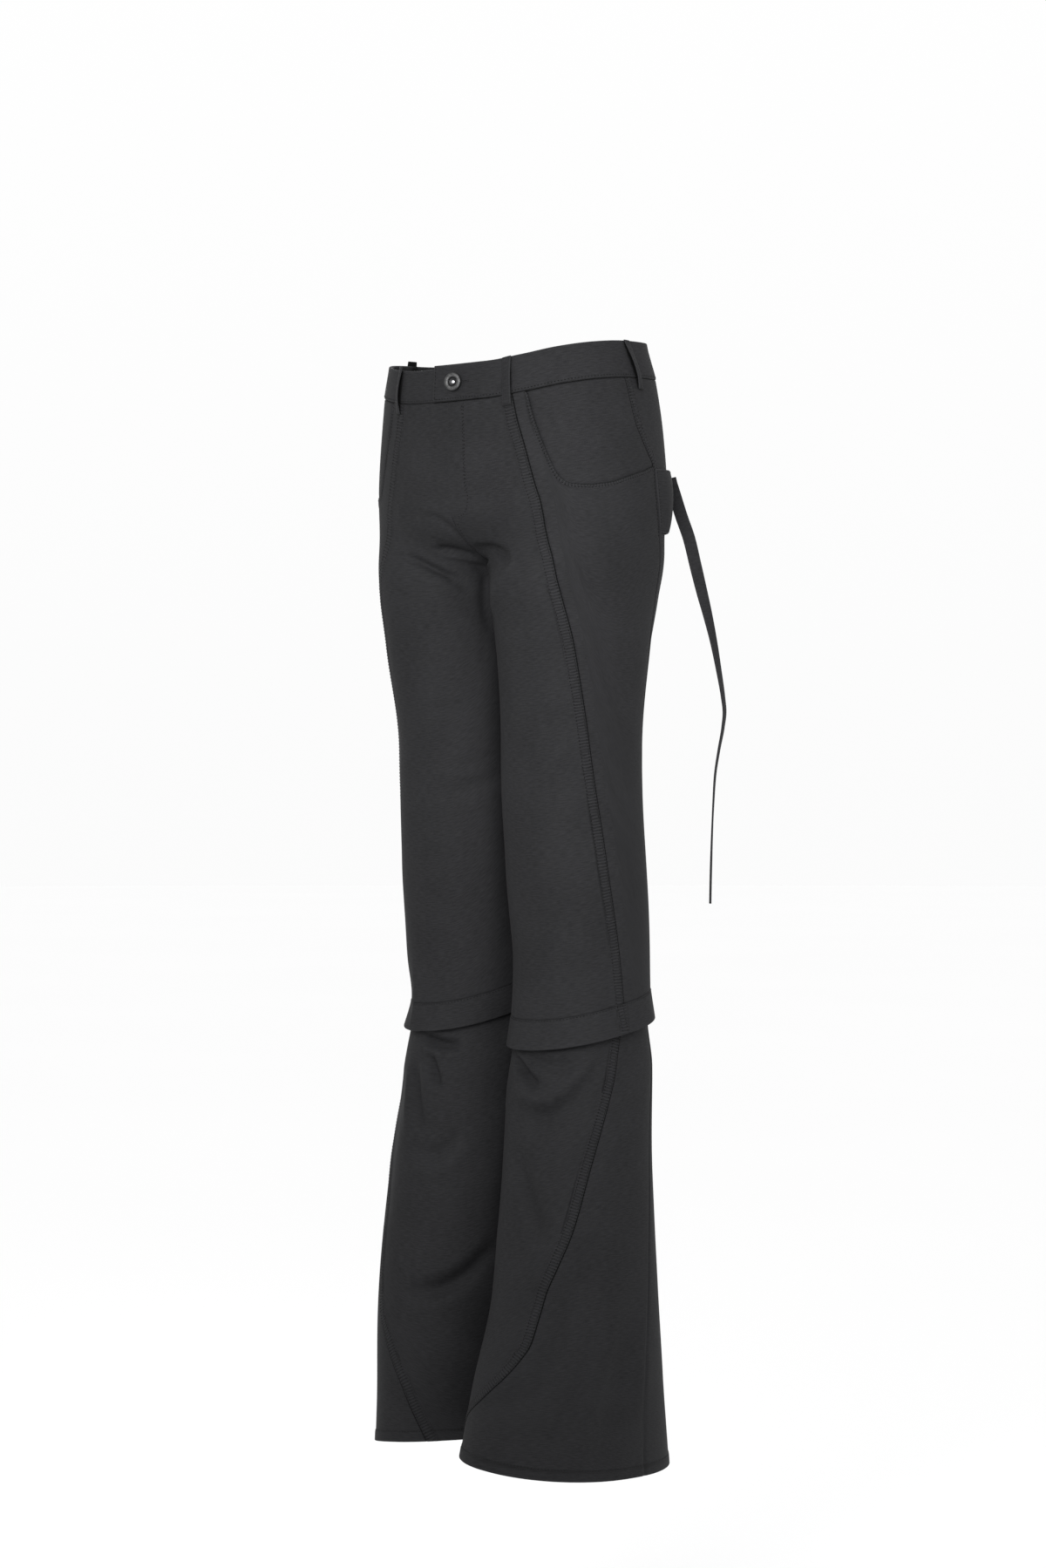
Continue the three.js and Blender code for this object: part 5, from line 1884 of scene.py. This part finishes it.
@dataclass
class LowerLeg:
    """The zip-off lower leg: a shin piece and a calf piece that meet on the winding seam."""

    half: Half
    tucked: float = 10.0
    pinch: float = 3.5
    pinch_fade: float = 45.0

    def build(self, shop: Workshop) -> None:
        """Builds and dresses the two panels.

        Args:
            shop: the finishes.
        """
        side, word = self.half.value, self.half.word
        edges = EDGES[self.half]
        table = WINDING_SEAM[self.half]
        place = column(table, 1)

        def top(s: Array) -> Array:
            """The lower leg's top edge, tucked under the knee hem."""
            return edges.knee_bottom(s) + self.tucked

        high = float(top(place(edges.bottom)))
        low = float(edges.leg_hem(place(edges.hem)))
        rows = rows_between(high - low)
        heights = lerp(high, low, rows)
        seam = (place(heights), heights)
        track = seam_down(side, table, high, low)

        def inseam(at: float) -> Places:
            """The inseam edge."""
            return np.full(len(rows), at), lerp(float(top(at)), float(edges.leg_hem(at)), rows)

        def edge_line(start: float, end: float, height: Callable) -> Callable:
            """A line across between two places."""
            return lambda u: (lerp(start, end, u), height(lerp(start, end, u)))

        def pinched(s: Array, h: Array, _: dict) -> Array:
            """The top is drawn in to pass under the hem."""
            return -self.pinch * (1 - ease((edges.knee_bottom(s) - h) / self.pinch_fade))

        def dipped(s: Array, h: Array, distances: dict) -> Array:
            """The calf also has a plain seam of its own down the back of the side."""
            away = (s - column(CALF_SEAM, 1)(h)) * FORM.breadth(h)
            return pinched(s, h, distances) - 1.0 * np.exp(-((away / 1.6) ** 2))

        shin = Panel(
            f"cloth_lower_shin_{word}", self.half,
            top=edge_line(-1.0, float(seam[0][0]), top),
            bottom=edge_line(-1.0, float(seam[0][-1]), edges.leg_hem),
            left=inseam(-1.0), right=seam, rows=rows,
            styles={"left": PLAIN_SEAM, "right": TOPSTITCHED, "bottom": TURNED_HEM},
            seams=(track,), extra=pinched,
        ).build(shop.twill)
        calf_panel = Panel(
            f"cloth_lower_calf_{word}", self.half,
            top=edge_line(float(seam[0][0]), 1.0, top),
            bottom=edge_line(float(seam[0][-1]), 1.0, edges.leg_hem),
            left=seam, right=inseam(1.0), rows=rows,
            styles={"left": UNDER_SEAM, "right": PLAIN_SEAM, "bottom": TURNED_HEM},
            seams=(track,), extra=dipped,
        ).build(shop.twill)
        shop.sheet(shin, f"lower_shin_{word}")
        shop.sheet(calf_panel, f"lower_calf_{word}")
        self.sew(shop, shin, calf_panel, track)

    def sew(self, shop: Workshop, shin: Shell, calf: Shell, track: Track) -> None:
        """Sews the winding seam's twin rows, the inseam's row and the hem.

        Args:
            shop: the finishes.
            shin: the shin panel.
            calf: the calf panel.
            track: the winding seam.
        """
        side, word = self.half.value, self.half.word
        edges = EDGES[self.half]
        end = float(track.s[-1])
        rows = Stitching(f"stitches_lower_shin_{word}", shin, shop.thread)
        rows.run(track.moved(1.7))
        rows.run(track.moved(8.0))
        rows.run(round_line(side, -0.99, end - 0.01, lambda s: edges.leg_hem(s) + 10))
        inseam = np.linspace(float(edges.knee_bottom(-1.0)) - 4, float(edges.leg_hem(-1.0)) + 3, 200)
        rows.run(Track(side, np.full(200, -0.988), inseam))
        rows.build()
        rows = Stitching(f"stitches_lower_calf_{word}", calf, shop.thread)
        rows.run(round_line(side, end + 0.01, 0.99, lambda s: edges.leg_hem(s) + 10, 300))
        rows.build()


TURN = 360.0


def round_waist(run: Array) -> tuple[Array, Array]:
    """Places on the waist from degrees round it.

    Args:
        run: degrees from centre front, towards the wearer's left.

    Returns:
        The side of each place and its s.
    """
    wrapped = np.where(run > TURN / 2, run - TURN, run)
    return np.where(wrapped < 0, -1.0, 1.0), np.abs(wrapped) / (TURN / 4) - 1


@dataclass
class Waistband:
    """The waistband, whose buttoned tab laps over its other end, with its belt loops.

    Ways round it are in degrees, as in `round_waist`.
    """

    tab_end: float = -6.0
    under_end: float = 370.0
    overlap_end: float = 14.0
    ease_end: float = 24.0
    wall: float = 3.0
    gap: float = 0.3
    end_room: float = 2.2
    drop: float = 4.2
    drop_from: float = 205.0
    drop_span: float = 50.0
    regain: float = 0.4
    regain_from: float = 318.0
    regain_span: float = 40.0

    def top_edge(self, run: Array) -> Array:
        """The band's top edge, which sags on the wearer's right.

        Args:
            run: degrees round the band.

        Returns:
            Its height there.
        """
        drop = self.drop * ease((run - self.drop_from) / self.drop_span)
        drop = drop * (1 - self.regain * ease((run - self.regain_from) / self.regain_span))
        return WAIST_TOP - drop * (run > TURN / 2)

    def lap(self, run: Array) -> Array:
        """How far each place of the band stands out where its ends lap.

        Args:
            run: degrees round the band.

        Returns:
            How far out it stands.
        """
        span = self.ease_end - self.overlap_end
        over = 1 - ease((run - self.overlap_end) / span)
        under = 1 - ease((TURN - self.overlap_end - run) / span)
        return (self.wall + self.gap) / 2 * (over - under)

    def build(self, shop: Workshop) -> None:
        """Builds and dresses the band, its loops and its sewing.

        Args:
            shop: the finishes.
        """
        ends = np.array([0, 0.15, 0.35, 0.6, 1.0, 1.6])
        between = np.linspace(self.tab_end + self.end_room, self.under_end - self.end_room, 420)
        run = np.concatenate([self.tab_end + ends, between, self.under_end - ends[::-1]])
        side, s = round_waist(run)
        v = rows_between(WAIST_TOP - WAIST_SEAM, 2.0)[:, None]
        h = lerp(self.top_edge(run)[None], WAIST_SEAM, v)
        shape = h.shape
        sides = np.broadcast_to(side, shape).copy()
        places = np.broadcast_to(s, shape).copy()
        lap = np.broadcast_to(self.lap(run), shape)
        band = lay_shell(
            "cloth_waistband", sides, places, h, shop.twill,
            styles={"top": FREE_EDGE, "left": FREE_EDGE, "bottom": EdgeStyle(0.7, 0.6)},
            thickness=self.wall, stand=self.wall / 2, extra=lambda *_: lap,
        )
        shop.sheet(band, "waistband")
        rows = Stitching("stitches_waistband", band, shop.thread)
        self.sew(rows)
        rows.build()
        for place in LOOPS:
            self.build_loop(shop, place)
        self.build_buttonhole(shop, band)

    def band_line(self, start: float, end: float, height: Callable) -> Iterable[Track]:
        """A line along the band, split where it passes from one half to the other.

        Args:
            start: where it starts, in degrees.
            end: where it ends, in degrees.
            height: its height as a function of the degrees.

        Yields:
            The line's stretches, each on one half.
        """
        pieces = ((start, min(end, TURN / 2)), (max(start, TURN / 2), end))
        cuts = [0.0] if start < 0 < end else []
        for low, high in pieces:
            points = [low] + [c for c in cuts if low < c < high] + [high]
            for a, b in zip(points, points[1:]):
                if b - a < 0.5:
                    continue
                run = np.linspace(a, b, max(12, int((b - a) * 3)))
                side, s = round_waist(run)
                yield Track(float(side[len(run) // 2]), s, height(run) + 0 * run)

    def sew(self, rows: Stitching) -> None:
        """Edge rows along the bottom and up the tab's end.

        Args:
            rows: the band's stitches.
        """
        for track in self.band_line(self.tab_end + 1.2, 359.0, lambda run: 0 * run + WAIST_SEAM + 2.4):
            rows.run(track)
        s = 1 + (self.tab_end + 1.1) / (TURN / 4)
        rows.run(Track(-1.0, np.full(30, -s), np.linspace(WAIST_TOP - 1.5, WAIST_SEAM + 2.4, 30)))

    def build_loop(self, shop: Workshop, place: LoopPlace) -> None:
        """Builds a belt loop: a folded strip, bowed out and tipped, its end turned under.

        Args:
            shop: the finishes.
            place: where the loop sits.
        """
        wall = 1.8
        v = np.concatenate([[0, 0.01, 0.025], np.linspace(0.05, 0.95, 26), [0.975, 0.99, 1.0]])
        across = np.array([-0.5, -0.485, -0.45, -0.4, -0.3, -0.1, 0.1, 0.3, 0.4, 0.45, 0.485, 0.5])
        h = lerp(place.top, place.bottom, v)[:, None] + 0 * across[None]
        s = place.centre(h) + across[None] * place.width / FORM.breadth(h)
        over = np.abs(s) > 1
        sides = np.where(over, -place.side, place.side)
        s = np.where(over, 2 * np.sign(s) - s, s)
        stand = lerp(2.8, 2.1, ease((v - 0.7) / 0.3)) + 2.8 * np.sin(np.pi * v)
        crown = 0.25 * np.cos(np.pi * across)
        tipped = 1 + place.tip * (across[None] - 0.5 * np.sign(place.tip))
        out = stand[:, None] * np.maximum(tipped, 0.2) + crown[None]
        # Its inner face is darkened fully, mostly as painted shade under the loop and partly as the cloth's
        # darker wrong side.
        loop = lay_shell(
            f"cloth_{place.node}", sides, s, h, shop.twill,
            styles={"left": FREE_EDGE, "right": FREE_EDGE, "top": FREE_EDGE,
                    "bottom": EdgeStyle(roll=0.7, roll_width=0.6, free=True)},
            thickness=wall, stand=wall / 2, extra=lambda *_: out, wrong_side_and_shade=1.0,
        )
        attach(loop.piece, "root")
        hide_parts(place.node)
        rows = Stitching(f"stitches_{place.node}", loop, shop.thread, Stitch(pitch=2.4, radius=0.22))
        if abs(place.middle) < 1:
            for offset in (-0.32, 0.32):
                line = lerp(place.top, place.bottom, np.linspace(0.04, 0.96, 40))
                beside = place.centre(line) + offset * place.width / FORM.breadth(line)
                rows.run(Track(place.side, beside, line))
            for tack in (16.0, -26.4):
                centre = place.centre(tack)
                half = 0.42 * place.width / float(FORM.breadth(tack))
                for nudge in (-0.35, 0.0, 0.35):
                    bar = np.linspace(centre - half, centre + half, 12)
                    rows.run(Track(place.side, bar, np.full(12, tack + nudge)), Stitch(1.5, 0.9, 0.2))
            rows.build()

    def build_buttonhole(self, shop: Workshop, band: Shell) -> None:
        """The buttonhole's close stitches, beside the button.

        Args:
            shop: the finishes.
            band: the band.
        """
        rows = Stitching("stitches_buttonhole", band, shop.thread, Stitch(pitch=1.0, share=0.9, radius=0.26))
        for height in (-0.7, 0.7):
            for low in np.linspace(-0.945, -0.896, 14):
                rows.run(Track(1.0, np.full(6, low), np.linspace(height - 0.7, height + 0.7, 6)))
        rows.build()


@dataclass
class WaistButton:
    """The sewn-on metal button: a dished ring with a bright eye."""

    s: float = -0.964
    turn: float = 14.0
    stand_off: float = 2.0
    segments: int = 96

    def build(self, shop: Workshop) -> None:
        """Builds and dresses the button and its eye.

        Args:
            shop: the finishes.
        """
        rim = [
            (0.0, -1.4), (2.4, -1.4), (2.6, -1.2), (2.6, -0.1), (2.9, 0.1), (6.8, 0.1), (7.9, 0.35),
            (8.4, 0.9), (8.5, 1.5), (8.4, 2.2), (7.95, 2.85), (7.2, 3.2), (6.0, 3.3), (5.1, 3.15),
            (4.5, 2.8), (4.15, 2.2), (4.05, 1.2), (3.95, 0.5), (0.0, 0.45),
        ]
        eye = [(0.0, 1.5), (0.8, 1.45), (1.5, 1.25), (1.9, 0.9), (2.0, 0.5), (0.0, 0.48)]
        band = Waistband()
        out = (band.wall + band.gap) / 2 + band.wall / 2 + band.gap + self.stand_off
        point, normal = CLOTH.lay(1.0, np.array([self.s]), np.array([0.0]), out)
        axis = np.array(Matrix.Rotation(math.radians(self.turn), 3, "Z") @ Vector(normal[0]))
        for name, profile, material in (("button_ring", rim, shop.metal), ("button_eye", eye, shop.bright)):
            piece = self.turned(name, profile, material, point[0], axis)
            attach(piece, "root")
            if name == "button_ring":
                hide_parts("waist_button")
            log.info("%s: %d faces", name, len(piece.data.polygons))

    def turned(
        self, name: str, profile: Sequence[tuple], material: bpy.types.Material, centre: Array, axis: Array
    ) -> bpy.types.Object:
        """Makes a piece turned on the button's axis.

        Args:
            name: the piece's name.
            profile: its (radius, height) steps, from the axis and back to it.
            material: its finish.
            centre: where its height is 0.
            axis: the direction it faces.

        Returns:
            The piece.
        """
        across = np.cross(axis, [0.0, 0.0, 1.0])
        across /= np.linalg.norm(across)
        up = np.cross(across, axis)
        turn = np.linspace(0, math.tau, self.segments, endpoint=False)
        around = np.cos(turn)[:, None] * across + np.sin(turn)[:, None] * up
        steps = profile[1:-1]
        rings = [centre + r * around + z * axis for r, z in steps]
        first, last = centre + profile[0][1] * axis, centre + profile[-1][1] * axis
        points = np.concatenate(rings + [first[None], last[None]])
        count = self.segments
        faces = grid_faces(len(steps), count, 0, True, True).tolist()
        start, end = len(points) - 2, len(points) - 1
        tail = (len(steps) - 1) * count
        for k in range(count):
            following = (k + 1) % count
            faces.append([start, k, following][::-1])
            faces.append([end, tail + following, tail + k][::-1])
        round_way = np.tile(turn, len(steps))
        radii = np.repeat([r for r, _ in steps], count)
        weave = np.stack([round_way * 8.0, radii, 0 * radii], -1)
        weave = np.concatenate([weave, [[0, 0, 0], [0, 0, 0]]])
        heights = np.repeat([z for _, z in steps], count)
        wear = np.concatenate([np.clip((heights - 2.2) / 1.2, 0, 1), [0, 0]])
        weft = Weft(weave, 0 * weave, np.stack([wear] * 3, -1))
        return new_object(name, points, faces, weft, material)


@dataclass
class Gusset:
    """The patch behind the side seam: sewn flat at its edges, standing off in the middle."""

    half: Half
    behind_seam: float = 0.008
    back: float = 0.42
    top: float = -99.0
    bottom: float = -155.0
    bulge: float = 4.2
    sewn_in: float = 2.0
    sewn_share: float = 0.01

    def front(self, heights: Array) -> Array:
        """The front edge, just behind the side back seam."""
        return column(SIDE_BACK_SEAM, 1)(heights) + self.behind_seam

    def build(self, shop: Workshop) -> None:
        """Builds and dresses the patch.

        Args:
            shop: the finishes.
        """
        side, word = self.half.value, self.half.word
        v = rows_between(self.top - self.bottom, 2.6)
        heights = lerp(self.top, self.bottom, v)[:, None]
        front = self.front(heights)
        u = rows_between((self.back - float(front[0, 0])) * float(FORM.breadth(self.top)), 2.6)
        s = lerp(front, self.back, u[None])
        h = heights + 0 * s
        swell = np.sin(np.pi * u)[None] * np.sqrt(np.maximum(0, np.sin(np.pi * v)))[:, None]
        out = 1.2 + 1.6 * ease(u / 0.3)[None] + self.bulge * swell
        patch = lay_shell(
            f"cloth_gusset_{word}", side, s, h, shop.twill,
            styles={edge: FREE_EDGE for edge in ("left", "right", "top", "bottom")},
            thickness=1.5, stand=0.8, extra=lambda *_: out,
        )
        shop.sheet(patch, f"gusset_{word}")
        rows = Stitching(f"stitches_gusset_{word}", patch, shop.thread)
        inset = self.sewn_share
        line = np.linspace(self.top - self.sewn_in, self.bottom + self.sewn_in, 60)
        rows.run(Track(side, self.front(line) + inset, line))
        rows.run(Track(side, np.full(60, self.back - inset), line))
        across = np.linspace(float(self.front(self.top)) + inset, self.back - inset, 60)
        rows.run(Track(side, across, np.full(60, self.top - self.sewn_in)))
        rows.run(Track(side, across, np.full(60, self.bottom + self.sewn_in)))
        rows.build()


@dataclass
class Tie:
    """The loose tie behind the left hip: a flat tape that turns edge-on on its way down."""

    width: float = 12.0
    steps: int = 240
    azimuth: float = 40.0
    depth: float = -8.0
    # How far out it stands along its azimuth, how high it is, and its turn.
    rows: tuple = (
        (142.8, -99, 0), (144, -104, 0), (146.2, -111, 0), (149.3, -121, 2), (154.1, -136, 5),
        (161, -156, 8), (167, -181, 14), (173, -206, 26), (179, -230, 42), (184.5, -255, 56),
        (189, -280, 66), (193, -305, 73), (194.5, -320, 76), (193, -335, 79), (189, -357, 82),
        (185.5, -381, 84), (184, -405, 86), (182.5, -440, 88), (181.5, -475, 90), (181, -501, 90),
    )

    def build(self, shop: Workshop) -> None:
        """Args:
            shop: the finishes.
        """
        angle = math.radians(self.azimuth)
        outward = np.array([math.cos(angle), math.sin(angle), 0.0])
        rearward = np.array([-math.sin(angle), math.cos(angle), 0.0])
        order = range(len(self.rows))
        out, height, turn = (SmoothCurve(order, [row[k] for row in self.rows]) for k in range(3))
        at = np.linspace(0, len(self.rows) - 1, self.steps + 1)
        centre = out(at)[:, None] * outward + self.depth * rearward + height(at)[:, None] * [0.0, 0.0, 1.0]
        along = np.gradient(centre, axis=0)
        along /= np.linalg.norm(along, axis=1, keepdims=True)
        twist = np.radians(turn(at))[:, None]
        across = np.cos(twist) * outward + np.sin(twist) * rearward
        across -= (across * along).sum(1, keepdims=True) * along
        across /= np.linalg.norm(across, axis=1, keepdims=True)
        face = np.cross(along, across)
        section = self.section()
        points = centre[:, None] + section[None, :, :1] * across[:, None]
        points = points + section[None, :, 1:] * face[:, None]
        way = np.concatenate([[0], np.cumsum(np.linalg.norm(np.diff(centre, axis=0), axis=1))])
        sides = len(section)
        faces = grid_faces(len(at), sides, 0, True, False).tolist()
        faces.append(list(range(sides)))
        faces.append([len(at) * sides - 1 - k for k in range(sides)])
        weave = np.stack([
            np.broadcast_to(section[:, 0], (len(at), sides)), np.repeat(way[:, None], sides, 1),
            np.full((len(at), sides), 7.0),
        ], -1).reshape(-1, 3)
        rubbed = np.clip(np.abs(section[:, 0]) / (self.width / 2) * 3 - 2, 0, 1)
        wear = np.broadcast_to(rubbed, (len(at), sides)).reshape(-1)
        weft = Weft(weave, 0 * weave, np.stack([wear] * 3, -1))
        piece = new_object("cloth_hip_tie", points.reshape(-1, 3), faces, weft, shop.twill)
        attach(piece, "root")
        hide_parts("hip_tie")
        tuple(centre[0] * MM)
        self.width * MM
        (centre * MM).tolist()
        log.info("%s: %.3f m long", piece.name, way[-1] * MM)

    def section(self) -> Array:
        """The tape's section: flat, with rolled edges and a sewn dip along each."""
        top = np.array([
            (-6.0, 0.0), (-5.85, 0.55), (-5.3, 0.9), (-4.6, 0.74), (-3.9, 0.86), (-2.0, 0.9), (0.0, 0.9),
            (2.0, 0.9), (3.9, 0.86), (4.6, 0.74), (5.3, 0.9), (5.85, 0.55),
        ])
        return np.concatenate([top, -top])


@dataclass
class Studio:
    """The camera, a pale floor and soft light."""

    distance: float = 3.4
    azimuth: float = 40.0
    across: float = 0.004
    height: float = -0.388
    lens: float = 82.37
    aim: float = -0.28
    beam: float = 75.0

    def build_camera(self) -> None:
        """The camera, level, seeing the whole garment."""
        angle = math.radians(self.azimuth)
        right = Vector((math.cos(angle), math.sin(angle), 0))
        ahead = Vector((-math.sin(angle), math.cos(angle), 0))
        data = bpy.data.cameras.new("camera")
        data.lens = self.lens
        data.sensor_width = 36.0
        camera = bpy.data.objects.new("camera", data)
        camera.matrix_world = Matrix.Translation(
            ahead * -self.distance + right * self.across + Vector((0, 0, self.height))
        ) @ ahead.to_track_quat("-Z", "Y").to_matrix().to_4x4()
        bpy.context.scene.collection.objects.link(camera)
        bpy.context.scene.camera = camera

    def build(self) -> None:
        """The floor, the sky and the lamps, shown without a film look."""
        bpy.context.scene.view_settings.view_transform = "Standard"
        self.build_floor()
        self.build_sky()
        self.lamp("key", 3.6, -62.0, 1.15, 0.05, 0.7)
        self.lamp("fill", 1.15, -8.0, 1.2, 0.0, 0.8)
        self.lamp("behind", 2.4, 130.0, 1.3, 0.05, 0.8)

    def build_floor(self) -> None:
        """A wide pale floor where the wearer would stand."""
        shader = Shader("pale_floor")
        cloud = shader.noise(shader.add("TexCoord", {}, {}, "Object"), 0.6, 2.0)
        colour = shader.blend(cloud, grey(0.925), grey(0.94))
        material = shader.surface({"Roughness": 0.9, "Specular IOR Level": 0.1}, base_color=colour)
        mesh = bpy.data.meshes.new("floor")
        reach, z = 30.0, CAD_BOX[0][2] - 0.3
        turn = np.linspace(0, math.tau, 64, endpoint=False)
        mesh.from_pydata([(reach * math.cos(a), reach * math.sin(a), z) for a in turn], [], [list(range(64))])
        mesh.materials.append(material)
        floor = bpy.data.objects.new("floor", mesh)
        bpy.context.scene.collection.objects.link(floor)

    def build_sky(self) -> None:
        """An even white sky, brighter overhead."""
        world = bpy.data.worlds.new("studio")
        world.use_nodes = True
        tree = world.node_tree
        tree.nodes.clear()
        coordinates = tree.nodes.new("ShaderNodeTexCoord")
        parts = tree.nodes.new("ShaderNodeSeparateXYZ")
        ramp = tree.nodes.new("ShaderNodeMapRange")
        for key, value in {"From Min": 0.0, "From Max": 1.0, "To Min": 0.97, "To Max": 1.09}.items():
            ramp.inputs[key].default_value = value
        sky = tree.nodes.new("ShaderNodeBackground")
        sky.inputs["Color"].default_value = (1.0, 1.0, 1.0, 1.0)
        output = tree.nodes.new("ShaderNodeOutputWorld")
        tree.links.new(coordinates.outputs["Generated"], parts.inputs[0])
        tree.links.new(parts.outputs["Z"], ramp.inputs["Value"])
        tree.links.new(ramp.outputs["Result"], sky.inputs["Strength"])
        tree.links.new(sky.outputs[0], output.inputs["Surface"])
        bpy.context.scene.world = world

    def lamp(self, name: str, watts: float, azimuth: float, away: float, height: float, size: float) -> None:
        """Adds a square soft light that faces the thighs.

        Args:
            name: the lamp's name.
            watts: its power.
            azimuth: where it stands, in degrees counted from the wearer's left.
            away: how far off the middle it stands, in metres.
            height: how high it stands over the waist, in metres.
            size: the length of its side, in metres.
        """
        angle = math.radians(azimuth)
        place = Vector((away * math.cos(angle), away * math.sin(angle), height))
        data = bpy.data.lights.new(name, "AREA")
        data.energy = watts
        data.size = size
        data.spread = math.radians(self.beam)
        lamp = bpy.data.objects.new(name, data)
        way = Vector((0, 0, self.aim)) - place
        lamp.matrix_world = Matrix.Translation(place) @ way.to_track_quat("-Z", "Y").to_matrix().to_4x4()
        bpy.context.scene.collection.objects.link(lamp)


def main() -> None:
    """Builds the camera, the trousers and the studio."""
    studio = Studio()
    studio.build_camera()
    shop = Workshop()
    Tie().build(shop)
    Waistband().build(shop)
    WaistButton().build(shop)
    for half in Half:
        UpperLeg(half).build(shop)
        Gusset(half).build(shop)
        KneeHem(half).build(shop)
        LowerLeg(half).build(shop)
    studio.build()


if __name__ == "__main__":
    main()
